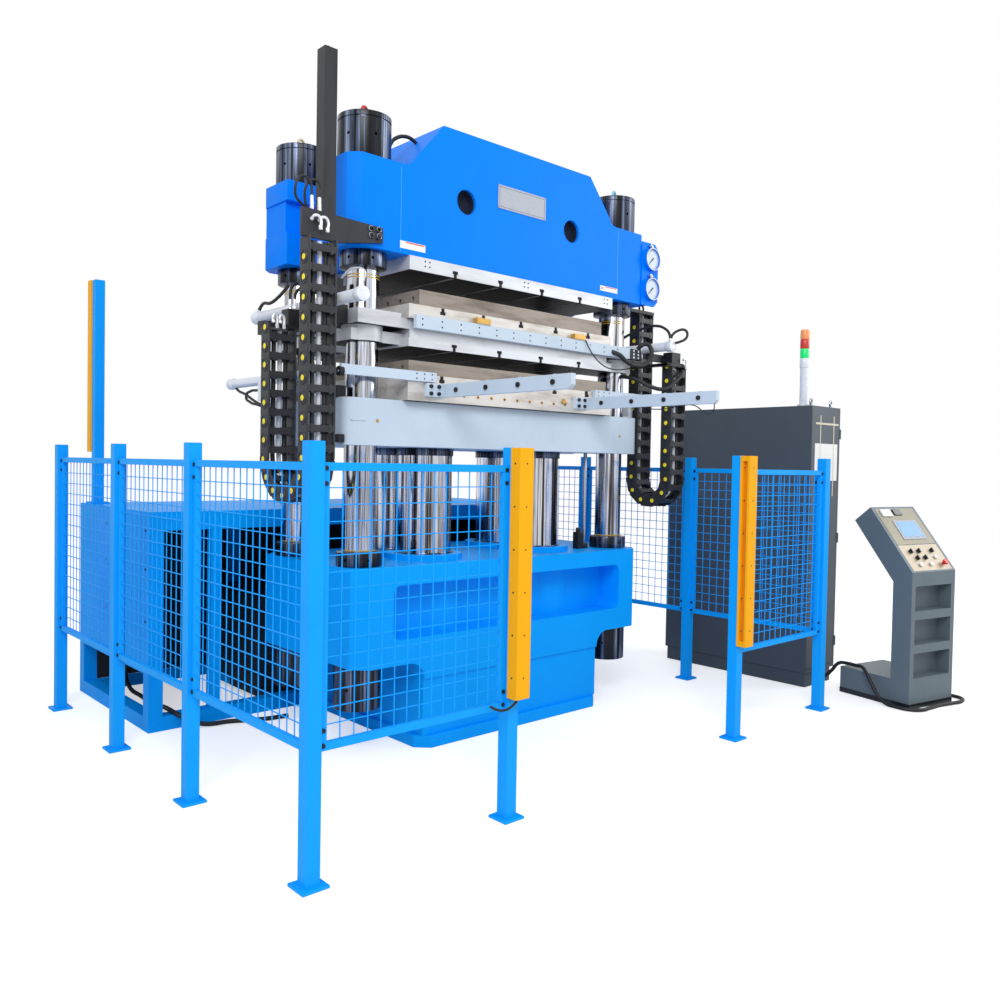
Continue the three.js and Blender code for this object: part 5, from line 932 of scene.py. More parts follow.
# The guide mast is a black square tube on a tapered bar, which four socket screws hold on the left front
# sleeve. Two lines come down to bright fittings on the bar, and two more leave it by bright elbows.
mast_black = worked_material("mast_black", "36373C", "222328", 0.6, 0.45, 0.5, 5, 160, 0.06, (3, 3, 0.6))
recast("guide_mast", "mast_and_bracket", mast_black, 0.002)
BOLTS = ((-1.049, 2.674), (-1.002, 2.676), (-1.047, 2.641), (-1.0, 2.643))
rims = [bar((x, -0.4995, z), (x, -0.493, z), 0.0145, 28, 0.002) for x, z in BOLTS]
settle(rims, "bracket_bolt_rims", bezel_metal)
sockets = [bar((x, -0.5035, z), (x, -0.495, z), 0.011, 28, 0.002) for x, z in BOLTS]
settle(sockets, "bracket_bolts", screw_steel)
LINE_RADIUS = 0.0065


def ferrule(start, end, radius=0.0085):
    """A crimped hose end: a bright sleeve with a hexagon at its foot."""
    a = Vector(start)
    b = Vector(end)
    sleeve = bar(a, b, radius, 20, 0.002)
    hexagon = bar(a - (b - a) * 0.02, a + (b - a) * 0.28, radius * 1.25, 6, 0.0015)
    neck = bar(a + (b - a) * 0.36, a + (b - a) * 0.46, radius * 1.12, 20, 0.001)
    return together([sleeve, hexagon, neck])


def elbow(points, radius=0.0072):
    """A bent fitting: a short bright tube round a corner with a hexagon at each end."""
    bend = tube_through("elbow", points, radius)
    first, second, before, last = (Vector(point) for point in points)
    into = (second - first).normalized()
    back = (before - last).normalized()
    ends = [
        bar(last - back * 0.001, last + back * 0.02, radius * 1.35, 6, 0.0015),
        bar(first - into * 0.001, first + into * 0.012, radius * 1.35, 6, 0.0015),
    ]
    return together([bend] + ends)


fitting_white = worked_material("fitting_white", "F0F1F2", "B9BCC0", 0.5, 0.25, 0.4)
top_fittings = [
    ferrule((-1.374, -0.484, 2.7), (-1.375, -0.484, 2.768)),
    ferrule((-1.333, -0.484, 2.693), (-1.334, -0.484, 2.766)),
    elbow([(-1.384, -0.496, 2.652), (-1.375, -0.52, 2.668), (-1.352, -0.522, 2.66), (-1.347, -0.52, 2.606)]),
    elbow([(-1.344, -0.496, 2.65), (-1.335, -0.52, 2.666), (-1.313, -0.522, 2.658), (-1.309, -0.52, 2.6)]),
]
settle(top_fittings, "bracket_fittings", fitting_white)


def soft_lines(body, rows):
    for name, radius, points in rows:
        soft_line(name, radius, points, body)


soft_lines("press_frame", [
    ("outer_loop", LINE_RADIUS, [
        (-1.371, -0.44, 2.7), (-1.41, -0.45, 2.728), (-1.448, -0.465, 2.752),
        (-1.46, -0.48, 2.785), (-1.452, -0.484, 2.822), (-1.428, -0.484, 2.848),
        (-1.398, -0.484, 2.842), (-1.379, -0.484, 2.814), (-1.375, -0.484, 2.764),
    ]),
    ("inner_loop", LINE_RADIUS, [
        (-1.377, -0.45, 2.7), (-1.398, -0.46, 2.75), (-1.403, -0.474, 2.8), (-1.38, -0.478, 2.838),
        (-1.348, -0.484, 2.842), (-1.328, -0.484, 2.812), (-1.334, -0.484, 2.762),
    ]),
])


# Each cable chain is a string of moulded nylon links, pinned together, with a yellow cap on every pin. It
# hangs in a loop between the crown and the middle level.
nylon = worked_material("chain_nylon", "222429", "33363D", 0.5, 0.45, 0.0, 12, 300, 0.08)
yellow_cap = worked_material("yellow_cap", "FFE81C", "E6D010", 0.3, 0.45)
hose_pale = worked_material("hose_pale", "D5D9E0", "A9AFBA", 0.4, 0.4)
LINK_PITCH = 0.094
LINK_DEPTH = 0.086
LINK_CHEEK = 0.012
CHAIN_X0 = 1.255
CHAIN_WIDTH = 0.156
CHAIN_TOP = 2.57
CHAIN_MOVING_TOP = 2.185


def chain_link():
    """One link at the origin, running along Z: two waisted cheeks, four cross bars and its pins."""
    half = CHAIN_WIDTH / 2
    parts = []
    caps = []
    pin_z = -LINK_PITCH / 2
    for side in (-1, 1):
        outer = side * half
        low = (outer, -LINK_DEPTH / 2, -LINK_PITCH * 0.53)
        high = (side * (half - LINK_CHEEK), LINK_DEPTH / 2, LINK_PITCH * 0.53)
        parts.append(slab(low, high, 0.004))
        boss = (side * (half - LINK_CHEEK * 0.5), 0, pin_z)
        parts.append(bar(boss, (outer * 1.02, 0, pin_z), LINK_DEPTH * 0.4, 20, 0.002))
        parts.append(bar(boss, (outer * 1.03, 0, pin_z), LINK_DEPTH * 0.27, 20, 0.002))
        caps.append(bar((outer * 0.99, 0, pin_z), (outer * 1.045, 0, pin_z), 0.014, 16, 0.001))
        pin = torus((outer * 1.02, 0, pin_z), (0, math.pi / 2, 0), LINK_DEPTH * 0.345, 0.0028, 20, 6)
        parts.append(pin)
    for face in (-1, 1):
        y = face * (LINK_DEPTH / 2 - 0.007)
        parts.append(slab((-half + 0.004, y - 0.006, -0.017), (half - 0.004, y + 0.006, 0.017), 0.003))
        for x in (0.03 - half, half - 0.03):
            parts.append(slab((x - 0.009, y - 0.0075, -0.024), (x + 0.009, y + 0.0075, 0.024), 0.002))
    return together(parts), together(caps)


def copies_along(source, x, places):
    """Copies of one link, each with its own mesh."""
    made = []
    for y, z, angle in places:
        copy = source.copy()
        copy.data = source.data.copy()
        bpy.context.scene.collection.objects.link(copy)
        copy.data.transform(Matrix.Translation((x, y, z)) @ Matrix.Rotation(angle, 4, "X"))
        made.append(copy)
    return made


def on_bend(fixed_y, moving_y, bend_z, turn):
    """The place on a chain's lower bend after a turn from its fixed strand."""
    half = (moving_y - fixed_y) / 2
    return fixed_y + half - half * math.cos(turn), bend_z - abs(half) * math.sin(turn)


def chain_places(fixed_y, moving_y, bend_z):
    """Where each link sits: down the fixed strand, round the bend and up the moving strand."""
    toward = 1 if moving_y > fixed_y else -1
    radius = abs(moving_y - fixed_y) / 2
    down = CHAIN_TOP - bend_z
    around = math.pi * radius
    total = down + around + CHAIN_MOVING_TOP - bend_z
    count = round(total / LINK_PITCH)
    places = []
    for i in range(count):
        s = (i + 0.5) * total / count
        if s < down:
            places.append((fixed_y, CHAIN_TOP - s, 0.0))
        elif s < down + around:
            turn = (s - down) / radius
            places.append((*on_bend(fixed_y, moving_y, bend_z, turn), toward * turn))
        else:
            places.append((moving_y, bend_z + (s - down - around), toward * math.pi))
    return places


CHAIN_HOSES = (
    (-0.03, rubber, "black_plastic"), (0.004, hose_pale, "white_plastic"), (0.036, rubber, "black_plastic"),
)
link, caps = chain_link()
for side, sign, fixed_y, moving_y, bend_z in (
    ("left", -1, -0.482, -0.102, 1.54),
    ("right", 1, -0.296, -0.581, 1.432),
):
    x = sign * (CHAIN_X0 + CHAIN_WIDTH / 2)
    loop = (fixed_y, moving_y, bend_z)
    places = chain_places(*loop)
    inward = LINK_DEPTH / 2 if moving_y > fixed_y else -LINK_DEPTH / 2
    start = (x, fixed_y + inward, 1.9)
    end = (x, moving_y - inward, 1.9)
    chain = settle(copies_along(link, x, places), "chain_links_" + side, nylon, None)
    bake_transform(chain)
    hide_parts("cable_chain_" + side)
    dots = settle(copies_along(caps, x, places), "chain_caps_" + side, yellow_cap, None)
    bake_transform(dots)
    strand = [(fixed_y, CHAIN_TOP - 0.01), (fixed_y, (CHAIN_TOP + bend_z) / 2)]
    strand += [on_bend(*loop, math.pi * k / 8) for k in range(9)]
    strand += [(moving_y, (CHAIN_MOVING_TOP + bend_z) / 2), (moving_y, CHAIN_MOVING_TOP - 0.01)]
    for i, (shift, material, slot) in enumerate(CHAIN_HOSES):
        points = [(x + shift, y, z) for y, z in strand]
        hose = soft_line("chain_hose_%s_%d" % (side, i), 0.0115, points, None, material)
        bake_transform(hose)
bpy.data.objects.remove(link)
bpy.data.objects.remove(caps)


# Hydraulic and air lines of the middle level: thin lines to the shuttle cylinders, a heavy hose curled up at
# the end of the drilled bar and another one slung under it. They are black rubber with bright crimped ends.
HEAVY_RADIUS = 0.0145
LEFT_ARCH = [
    (-1.198, -0.47, 2.41), (-1.2, -0.545, 2.438), (-1.2, -0.61, 2.437), (-1.2, -0.655, 2.424),
    (-1.2, -0.68, 2.402), (-1.2, -0.668, 2.37), (-1.2, -0.652, 2.343),
]
soft_line("left_arch", 0.005, LEFT_ARCH, "middle_level", hose_pale)
soft_lines("middle_level", [
    ("left_rear_line", 0.009, [
        (-1.2, 0.385, 2.35), (-1.2, 0.335, 2.382), (-1.2, 0.253, 2.376), (-1.2, 0.158, 2.398),
        (-1.195, 0.06, 2.445),
    ]),
    ("left_middle_line", 0.008, [
        (-1.25, -0.062, 2.34), (-1.25, -0.06, 2.38), (-1.235, -0.052, 2.42), (-1.2, -0.04, 2.445),
    ]),
    ("left_inner_line", 0.008, [
        (-1.25, -0.111, 2.34), (-1.25, -0.118, 2.372), (-1.245, -0.145, 2.394),
        (-1.225, -0.19, 2.405),
    ]),
    ("right_arch", 0.009, [
        (1.165, -0.215, 2.368), (1.185, -0.29, 2.41), (1.2, -0.37, 2.438), (1.2, -0.45, 2.455),
        (1.2, -0.53, 2.455), (1.2, -0.59, 2.435), (1.2, -0.634, 2.395), (1.2, -0.645, 2.344),
    ]),
    ("right_end_loop", 0.0085, [
        (1.205, -0.64, 2.35), (1.212, -0.652, 2.385), (1.24, -0.669, 2.412), (1.275, -0.701, 2.42),
        (1.296, -0.708, 2.4), (1.282, -0.708, 2.365), (1.245, -0.691, 2.341),
        (1.214, -0.676, 2.33),
    ]),
    ("curled_hose", HEAVY_RADIUS, [
        (0.78, -0.5, 2.245), (0.815, -0.535, 2.226), (0.876, -0.547, 2.188), (0.963, -0.552, 2.17),
        (1.056, -0.552, 2.186), (1.118, -0.55, 2.241), (1.13, -0.542, 2.294),
        (1.108, -0.526, 2.324), (1.078, -0.505, 2.316), (1.068, -0.48, 2.29),
    ]),
    ("slung_hose", HEAVY_RADIUS * 0.9, [
        (0.985, -0.38, 2.112), (1.0, -0.44, 2.106), (1.03, -0.51, 2.086), (1.08, -0.585, 2.04),
        (1.15, -0.64, 2.026), (1.235, -0.652, 2.072), (1.32, -0.652, 2.132), (1.35, -0.64, 2.16),
    ]),
    ("bar_lead", 0.0038, [
        (0.52, -0.513, 2.292), (0.54, -0.524, 2.245), (0.579, -0.53, 2.199), (0.666, -0.53, 2.148),
        (0.768, -0.53, 2.13), (0.882, -0.53, 2.14), (0.988, -0.525, 2.168), (1.04, -0.505, 2.19),
    ]),
])
crimps = [
    ferrule((-1.2, -0.652, 2.338), (-1.2, -0.655, 2.362), 0.01),
    ferrule((-1.2, 0.405, 2.338), (-1.2, 0.378, 2.358), 0.012),
    ferrule((-1.25, -0.062, 2.29), (-1.25, -0.062, 2.35)),
    ferrule((-1.25, -0.11, 2.29), (-1.25, -0.111, 2.35)),
    ferrule((1.2, -0.645, 2.338), (1.2, -0.645, 2.36), 0.011),
    elbow([(-1.352, -0.15, 2.205), (-1.352, -0.15, 2.24), (-1.342, -0.15, 2.246), (-1.33, -0.15, 2.18)]),
    elbow([(-1.39, -0.15, 2.205), (-1.39, -0.15, 2.24), (-1.38, -0.15, 2.246), (-1.368, -0.15, 2.18)]),
    elbow([(1.352, -0.64, 2.235), (1.376, -0.64, 2.24), (1.386, -0.64, 2.222), (1.386, -0.64, 2.176)]),
]
settle(crimps, "line_crimps", fitting_white, "middle_level")
valve_blocks = [
    slab((-1.3, -0.135, 2.205), (-1.205, -0.06, 2.29), 0.004),
    slab((1.255, -0.62, 2.205), (1.35, -0.545, 2.28), 0.004),
    slab((1.12, -0.56, 2.212), (1.3, -0.535, 2.262), 0.003),
    slab((-1.163, -0.352, 2.29), (-1.112, -0.282, 2.437), 0.003),
]
settle(valve_blocks, "chain_end_blocks", bracket_black, "middle_level")


# More lines run round the press: one over the crown, two from the gauges down to the right chain, and two
# that loop out behind the left pull cylinder. A ground rod under the platen shows how far it has risen.
soft_line("crown_top_hose", 0.01, [
    (-0.815, -0.3, 3.17), (-0.8, -0.3, 3.205), (-0.774, -0.3, 3.236), (-0.709, -0.3, 3.264),
    (-0.655, -0.3, 3.258), (-0.62, -0.3, 3.235),
])
for shift in (0, 0.042):
    gauge_line = [
        (1.3 + shift, -0.3, 2.59), (1.296 + shift, -0.302, 2.618), (1.262 + shift * 0.5, -0.32, 2.652),
        (1.215, -0.37 - shift, 2.68), (GAUGE_X, -0.43, 2.699 + shift * 4.6),
    ]
    soft_line("gauge_line_%d" % (shift * 1000), 0.007, gauge_line)
soft_lines("lifting_platen", [
    ("pull_cylinder_hose", 0.0075, [
        (-1.215, 0.64, 1.945), (-1.215, 0.605, 1.918), (-1.215, 0.512, 1.89), (-1.215, 0.4, 1.848),
        (-1.215, 0.305, 1.82), (-1.19, 0.2, 1.795), (-1.15, 0.14, 1.78),
    ]),
    ("pull_cylinder_loop", 0.0075, [
        (-1.215, 0.3, 1.918), (-1.215, 0.36, 1.905), (-1.215, 0.438, 1.904),
        (-1.215, 0.499, 1.876), (-1.215, 0.449, 1.842), (-1.215, 0.36, 1.824),
        (-1.205, 0.24, 1.796), (-1.16, 0.15, 1.77),
    ]),
])
ROD_X = 0.775
ROD_Y = -0.3
ROD_TOP = 1.599
rise_rod = bar((ROD_X, ROD_Y, 1), (ROD_X, ROD_Y, ROD_TOP), 0.012, 28, 0.001)
settle(rise_rod, "rise_rod", bezel_metal, None)
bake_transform(rise_rod)
rod_foot = [
    bar((ROD_X, ROD_Y, 0.974), (ROD_X, ROD_Y, 1.01), 0.026, 32, 0.003),
    slab((0.69, -0.33, 0.974), (0.74, -0.28, 1.085), 0.004),
    bar((0.715, -0.305, 1.084), (0.715, -0.305, 1.112), 0.016, 24, 0.002),
]
settle(rod_foot, "rod_foot", screw_steel)


# The guard fence is made of square posts on foot plates, with panels of welded mesh screwed between them.
# Posts, frames and wires are all sprayed in the same light blue.
fence_blue = worked_material("fence_blue", "08A4FF", "0494F0", 0.3, 0.45, 0.0, 3, 80, 0.03, shine=0.16)
POST_HALF = 0.03
POST_HEIGHT = 1.587
FOOT_HALF = 0.055
FOOT_HEIGHT = 0.012
FENCE_LEFT_X = -1.919
FENCE_RIGHT_X = 1.725
FENCE_FRONT_Y = -1.462
FRONT_LEFT_X = -0.963
FRONT_RIGHT_X = 0.768
LEFT_POSTS_Y = (-1.462, -0.436, 0.491, 1.46)
RIGHT_POSTS_Y = (-1.462, -0.454, 0.553, 1.5)
PANEL_LOW = 0.48
PANEL_HIGH = 1.512
PANEL_RAIL = 0.03
PANEL_HALF = 0.0125
WIRE_HALF = 0.002
MESH_SQUARE = 0.06
SIDE_MESH = 0.058


def post_on(x, y, floor=0, top=POST_HEIGHT):
    """A square tube and the plate that it stands on."""
    parts = []
    for half, low, high, edge in (
        (POST_HALF, floor + 0.001, top, 0.003),
        (FOOT_HALF, floor, floor + FOOT_HEIGHT, 0.002),
    ):
        parts.append(slab((x - half, y - half, low), (x + half, y + half, high), edge))
    return parts


def wires(start, step, count, low, high):
    """One straight wire, and the rest of its row set beside it at the mesh's pitch."""
    wire = slab(low, high, 0.0006, 1)
    wire.location = start
    row = wire.modifiers.new("row", "ARRAY")
    row.count = count
    row.use_relative_offset = False
    row.use_constant_offset = True
    row.constant_offset_displace = step
    apply_modifiers(wire)
    bpy.ops.object.transform_apply()
    return wire


def mesh_panel(a, b):
    """A panel from post a to post b: a flat bar frame, wires both ways and the screws at its corners."""
    start = Vector((*a, 0))
    run = Vector((*b, 0)) - start
    length = run.length - POST_HALF * 2
    low = PANEL_LOW + PANEL_RAIL
    high = PANEL_HIGH - PANEL_RAIL
    far = length - PANEL_RAIL
    parts = []
    for x0, x1, z0, z1 in (
        (0, length, PANEL_LOW, low),
        (0, length, high, PANEL_HIGH),
        (0, PANEL_RAIL, low, high),
        (far, length, low, high),
    ):
        parts.append(slab((x0, -PANEL_HALF, z0), (x1, PANEL_HALF, z1), 0.002))
    columns = round((far - PANEL_RAIL) / (MESH_SQUARE if a[1] == b[1] else SIDE_MESH))
    rows = round((high - low) / MESH_SQUARE)
    step_x = (far - PANEL_RAIL) / columns
    step_z = (high - low) / rows
    upright = wires(
        (PANEL_RAIL + step_x, 0, 0), (step_x, 0, 0), columns - 1,
        (-WIRE_HALF, -WIRE_HALF * 2, low - 0.002), (WIRE_HALF, 0, high + 0.002),
    )
    level = wires(
        (0, 0, low + step_z), (0, 0, step_z), rows - 1,
        (PANEL_RAIL - 0.002, 0, -WIRE_HALF), (far + 0.002, WIRE_HALF * 2, WIRE_HALF),
    )
    panel = together(parts + [upright, level])
    turn = math.atan2(run.y, run.x)
    place = Matrix.Translation(start + run.normalized() * POST_HALF) @ Matrix.Rotation(turn, 4, "Z")
    panel.data.transform(place)
    heads = []
    for along in (0.014, length - 0.014):
        for z in (PANEL_LOW + 0.02, PANEL_LOW + 0.075, PANEL_HIGH - 0.02, PANEL_HIGH - 0.075):
            for face in (-1, 1):
                root = (along, face * PANEL_HALF, z)
                head = bar(root, (along, face * (PANEL_HALF + 0.005), z), 0.009, 10, 0.0015)
                head.data.transform(place)
                heads.append(head)
    return panel, heads


def fence_run(name, posts, replaced, with_posts):
    parts = [part for x, y in with_posts for part in post_on(x, y)]
    screws = []
    for a, b in zip(posts, posts[1:]):
        panel, heads = mesh_panel(a, b)
        parts.append(panel)
        screws += heads
    run = settle(parts, name, fence_blue)
    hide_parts(replaced)
    settle(screws, name + "_screws", screw_steel)


left_posts = [(FENCE_LEFT_X, y) for y in LEFT_POSTS_Y]
right_posts = [(FENCE_RIGHT_X, y) for y in RIGHT_POSTS_Y]
fence_run("left_guard", left_posts, "fence_left", left_posts)
fence_run("right_guard", right_posts, "fence_right", right_posts)
front_left = (FRONT_LEFT_X, FENCE_FRONT_Y)
front_right = (FRONT_RIGHT_X, FENCE_FRONT_Y)
fence_run("front_left_guard", [left_posts[0], front_left], "fence_front_left", [front_left])
fence_run("front_right_guard", [front_right, right_posts[0]], "fence_front_right", [front_right])


# Light curtains guard the fence's opening. Their housings are bent sheet in safety yellow with a lens
# channel, screwed to the two front posts and to a tall post on the power unit's deck.
yellow_paint = worked_material("yellow_paint", "FFB208", "F6A604", 0.3, 0.42, 0.0, 4, 80, 0.02, shine=0.16)
lens_orange = worked_material("lens_orange", "E8880A", "C86A08", 0.4, 0.3)
for side in ("left", "right"):
    recast("curtain_cover_" + side, side + "_curtain_housing", yellow_paint, 0.002)
rear_low, rear_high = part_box("rear_curtain_post")
rear_x = (rear_low.x + rear_high.x) / 2
rear_y = rear_low.y + FOOT_HALF
DECK = rear_low.z
rear_post = settle(post_on(rear_x, rear_y, DECK, rear_high.z), "rear_post", fence_blue)
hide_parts("rear_curtain_post")
rear_cover = slab(
    (rear_x - 0.039, rear_y + POST_HALF, DECK + 0.33), (rear_x + 0.039, rear_high.y, rear_high.z + 0.002)
)
settle(rear_cover, "rear_curtain_housing", yellow_paint)
for side, x, lens_x in (("left", FRONT_LEFT_X, 0.016), ("right", FRONT_RIGHT_X, -0.016)):
    lens = slab((x + lens_x - 0.002, -1.536, 0.562), (x + lens_x + 0.002, -1.508, 1.554), 0.0005)
    settle(lens, "curtain_lens_" + side, lens_orange)
    screws = []
    for z in (0.62, 0.8, 0.98, 1.16, 1.34, 1.52):
        screws.append(bar((x - 0.0385, -1.522, z), (x - 0.0415, -1.522, z), 0.004, 10, 0.0008))
        screws.append(bar((x, -1.551, z), (x, -1.554, z), 0.0035, 10, 0.0008))
    settle(screws, "curtain_screws_" + side, screw_steel)
soft_line("curtain_lead", 0.0055, [
    (-0.963, -1.524, 0.56), (-0.965, -1.524, 0.53), (-1.0, -1.522, 0.5), (-1.035, -1.518, 0.49),
    (-1.075, -1.512, 0.498), (-1.1, -1.5, 0.512),
])


# The power unit is a skid of square tube with a sheet deck. Blue side sheets close its ends, and inside
# stand the oil tank and a pump motor, both dark.
tank_dark = worked_material("tank_dark", "1B1F27", "2A303B", 0.5, 0.5, 0.2)
unit_low, unit_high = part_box("power_unit")
TUBE = 0.08
DECK_UNDER = unit_high.z - 0.025
recast("power_unit", "unit_skid", cast_blue, 0.003, segments=2)
# Dark sheets just inside the rear and the two blue end sheets are painted shade inside the unit.
rear_end = (unit_high.x - 0.03, unit_high.y - 0.07, DECK_UNDER - TUBE)
inner_shade_sheets = [slab((unit_low.x + 0.03, unit_high.y - 0.079, TUBE + 0.002), rear_end)]
for x in (unit_low.x + 0.008, unit_high.x - 0.014):
    near = (x, unit_low.y + TUBE + 0.01, 0.325)
    inner_shade_sheets.append(slab(near, (x + 0.006, unit_high.y - TUBE - 0.01, DECK_UNDER - 0.004), 0.001))
settle(inner_shade_sheets, "unit_inner_shade", tank_dark)
tank_x = (unit_low.x + unit_high.x) / 2
tank_y = (unit_low.y + unit_high.y) / 2
TANK_HALF = 0.752
left = tank_x - TANK_HALF
right = tank_x + TANK_HALF
tank = [
    slab((left, tank_y - 0.382, TUBE - 0.001), (right, unit_high.y - TUBE + 0.004, TUBE + 0.562), 0.006),
    slab((left, unit_low.y + TUBE + 0.001, 0.038), (right, tank_y, TUBE + 0.002), 0.003),
]
settle(tank, "oil_tank", tank_dark)
MOTOR_RADIUS = 0.15
motor_x = tank_x - 0.375
motor_z = TUBE + 0.56 + MOTOR_RADIUS
ends = [(motor_x + x, tank_y, motor_z) for x in (-0.004, 0.464)]
motor = [bar(*ends, MOTOR_RADIUS + 0.003, 48)]
for i in range(24):
    foot = (motor_x + 0.05, -0.003, MOTOR_RADIUS)
    fin = slab(foot, (motor_x + 0.4, 0.003, MOTOR_RADIUS + 0.016), 0.001, 1)
    fin.rotation_euler = (i * math.tau / 24, 0, 0)
    fin.location = (0, tank_y, motor_z)
    bpy.ops.object.transform_apply()
    motor.append(fin)
settle(motor, "pump_motor", tank_dark)
post = slab((-1.345, unit_low.y + 0.002, TUBE), (-1.283, unit_low.y + 0.064, 1.118), 0.003)
settle(post, "unit_post", cast_blue)
sheet_screws = [
    bar((face - out * 0.002, y, z), (face + out * 0.004, y, z), 0.007, 10, 0.001)
    for face, out in ((unit_low.x, -1), (unit_high.x, 1))
    for y in (0.7, 1.33)
    for z in (1.115, 0.9, 0.61)
]
settle(sheet_screws, "unit_sheet_screws", screw_steel)
soft_line("floor_hose", 0.013, [
    (-1.42, 1.7, 0.24), (-1.448, 1.715, 0.12), (-1.461, 1.64, 0.045), (-1.465, 1.376, 0.014),
    (-1.49, 1.08, 0.024), (-1.55, 0.82, 0.086), (-1.562, 0.7, 0.098), (-1.535, 0.615, 0.078),
    (-1.44, 0.57, 0.026), (-1.262, 0.539, 0.014), (-1.12, 0.47, 0.014), (-0.96, 0.44, 0.014),
])


# The electrical cabinet is folded sheet in dark grey powder coat, on a plinth. Two lifting eyes stand on its
# front corners, and its narrow side has cream strips and a bare paper label.
cabinet_grey = worked_material("cabinet_grey", "4C555E", "434B54", 0.35, 0.5, 0.1, 2, 260, 0.08)
plinth_dark = worked_material("plinth_dark", "30353B", "262A2F", 0.4, 0.6)
cream = worked_material("cream_strip", "D9D2BE", "BDB49C", 0.4, 0.55)
recast("cabinet_body", "cabinet_shell", cabinet_grey, 0.003)
for side in ("front", "rear"):
    door = "door_" + side
    recast("cabinet_" + door, "door_panel_" + side, cabinet_grey, 0.002, door)
cab_low, cab_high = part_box("cabinet_body")
seam = slab((cab_low.x - 0.001, cab_low.y - 0.001, 0.128), (cab_high.x, cab_low.y + 0.01, 0.132), 0.0005)
settle(seam, "cabinet_seam", plinth_dark)
eyes = lifting_eye(cab_low.x + 0.05, cab_low.y + 0.04, cab_high.z, 0.8, 0.2)
eyes += lifting_eye(cab_high.x - 0.05, cab_low.y + 0.04, cab_high.z, 0.8, 0.2)
settle(eyes, "cabinet_eyes", bezel_metal)


def on_cabinet(x0, x1, z0, z1, stand, edge):
    """A flat piece on the cabinet's narrow side."""
    return slab((x0, cab_low.y - stand, z0), (x1, cab_low.y + 0.001, z1), edge)


strips = [
    on_cabinet(2.262, 2.272, 1.55, 1.897, 0.002, 0.0005),
    on_cabinet(2.452, 2.462, 1.33, 1.897, 0.002, 0.0005),
    on_cabinet(2.2, 2.52, 1.832, 1.846, 0.003, 0.0005),
]
settle(strips, "cream_strips", cream)
paper = [
    on_cabinet(2.195, 2.515, 1.44, 1.7, 0.0012, 0.0003),
    on_cabinet(2.36, 2.39, 0.37, 0.54, 0.0012, 0.0003),
]
settle(paper, "cabinet_labels", label_white)


# The stack light is a clear plastic tube with an amber, a red and a green lens, on a bright pole. It stands
# on the cabinet's roof, and its green lens glows most.
light_low, light_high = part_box("stack_light")
LIGHT = ((light_low.x + light_high.x) / 2, (light_low.y + light_high.y) / 2)
pole_top = light_low.z + 0.27
clear_tube = worked_material("clear_tube", "DDE4EC", "C6CED8", 0.3, 0.15)
pole = [
    bar((*LIGHT, light_low.z), (*LIGHT, pole_top), 0.027, 40),
    bar((*LIGHT, light_low.z), (*LIGHT, light_low.z + 0.014), 0.04, 32, 0.002),
]
pole = settle(pole, "light_pole", clear_tube)
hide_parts("stack_light")
for i, (name, code, glow) in enumerate(
    (("clear", "E6EBF0", 0.0), ("green", "10C86A", 0.5), ("red", "C8382E", 0.1), ("amber", "F29A5C", 0.1))
):
    z = pole_top + i * 0.066
    lens = [
        bar((*LIGHT, z), (*LIGHT, z + 0.062), 0.031, 40, 0.003),
        bar((*LIGHT, z + 0.061), (*LIGHT, z + 0.066), 0.027, 40),
    ]
    glass = worked_material("lens_" + name, code, code, 0.2, 0.18)
    shader = glass.node_tree.nodes["Principled BSDF"]
    shader.inputs["Emission Color"].default_value = linear(code)
    shader.inputs["Emission Strength"].default_value = glow
    settle(lens, "light_lens_" + name, glass)


# The operator console is folded sheet on a long foot, with three open shelves in its front. Its sloped desk
# carries a beige plate with switches, a touch panel in a pale bezel, and a small meter.
DESK_RISE = 0.4
DESK_RUN = 0.32
DESK_FOOT = 0.875
DESK_WIDTH = 0.45
DESK_LENGTH = math.hypot(DESK_RISE, DESK_RUN)
console = Matrix.Translation((2.155, -1.85, 0)) @ Matrix.Rotation(math.radians(-12), 4, "Z")
slope = Matrix.Rotation(math.atan2(DESK_RISE, DESK_RUN), 4, "X")
desk = console @ Matrix.Translation((0, 0, DESK_FOOT)) @ slope
console_grey = worked_material("console_grey", "66747C", "5A676F", 0.35, 0.45, 0.1, 3, 260, 0.06)
panel_beige = worked_material("panel_beige", "BDB09A", "A99D88", 0.3, 0.4, 0.2)
bezel_grey = worked_material("bezel_grey", "A9B1BA", "979FA9", 0.3, 0.4)
panel_olive = worked_material("panel_olive", "8F8A78", "7C7766", 0.3, 0.4, 0.3)
screen_blue = worked_material("screen_blue", "3E8FD8", "6FB4EA", 0.6, 0.15)
screen_dark = worked_material("screen_dark", "20242A", "2F353D", 0.4, 0.15)
recast("console_body", "console_shell", console_grey, 0.003)
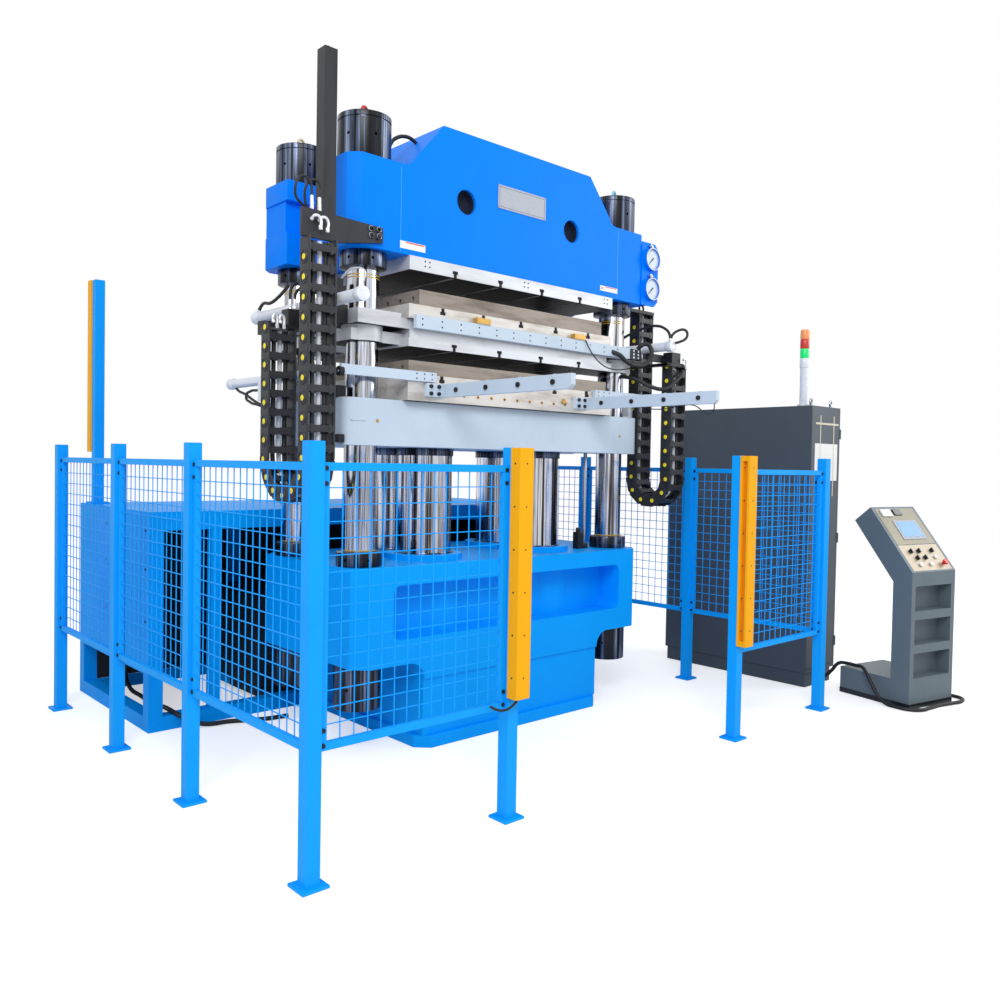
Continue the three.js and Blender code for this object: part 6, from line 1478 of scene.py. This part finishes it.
# A dark band round the bottom of the foot stands for its recessed plinth and the shade in that recess.
plinth = slab((-0.0025, -0.0025, 0.0005), (DESK_WIDTH + 0.0025, 0.5225, 0.034))
plinth.data.transform(console)
settle(plinth, "console_plinth_shade", screen_dark)
DESK_PIECES = [
    ("switch_plate", panel_beige, "pale_paint", (0.06, 0.02, 0), (0.94, 0.4, 0.0004), 0.0001),
    ("upper_panel", panel_olive, "pale_paint", (0.06, 0.41, 0), (0.94, 0.97, 0.0015), 0.0008),
    ("touch_bezel", bezel_grey, "white_plastic", (0.28, 0.48, 0.001), (0.82, 0.78, 0.006), 0.002),
    ("touch_screen", screen_blue, "black_plastic", (0.33, 0.52, 0.005), (0.77, 0.75, 0.0068), 0.0005),
    ("meter_case", white_plastic, "white_plastic", (0.14, 0.84, 0.001), (0.36, 0.95, 0.012), 0.002),
    ("small_display", screen_dark, "black_plastic", (0.42, 0.86, 0.001), (0.6, 0.95, 0.01), 0.002),
]
for name, material, slot, (x0, y0, z0), (x1, y1, z1), edge in DESK_PIECES:
    # Corners are shares of the desk's width and of its slope, and heights above it.
    low = (x0 * DESK_WIDTH, y0 * DESK_LENGTH, z0)
    piece = slab(low, (x1 * DESK_WIDTH, y1 * DESK_LENGTH, z1), edge)
    piece.data.transform(desk)
    settle(piece, name, material)
selector_black = worked_material("selector_black", "1D1F22", "2E3135", 0.4, 0.35)
stop_red = worked_material("stop_red", "D8261E", "B81C16", 0.3, 0.3)
selector_white = worked_material("selector_mark", "EDEDED", "D5D5D5", 0.3, 0.4)
SELECTORS = ((0.24, 0.3), (0.42, 0.3), (0.72, 0.3), (0.3, 0.2), (0.48, 0.2))
for i, (across, up) in enumerate(SELECTORS, 1):
    name = "selector_%d" % i
    repaint(name, selector_black)
    mark = slab((-0.0012, -0.0135, 0.0205), (0.0012, 0.0135, 0.0218), 0.0003)
    mark.data.transform(desk @ Matrix.Translation((across * DESK_WIDTH, up * DESK_LENGTH, 0)))
    settle(mark, name + "_mark", selector_white, name + "_body")
for i in (1, 2, 3):
    repaint("push_button_%d" % i, white_plastic)
repaint("emergency_stop", stop_red)
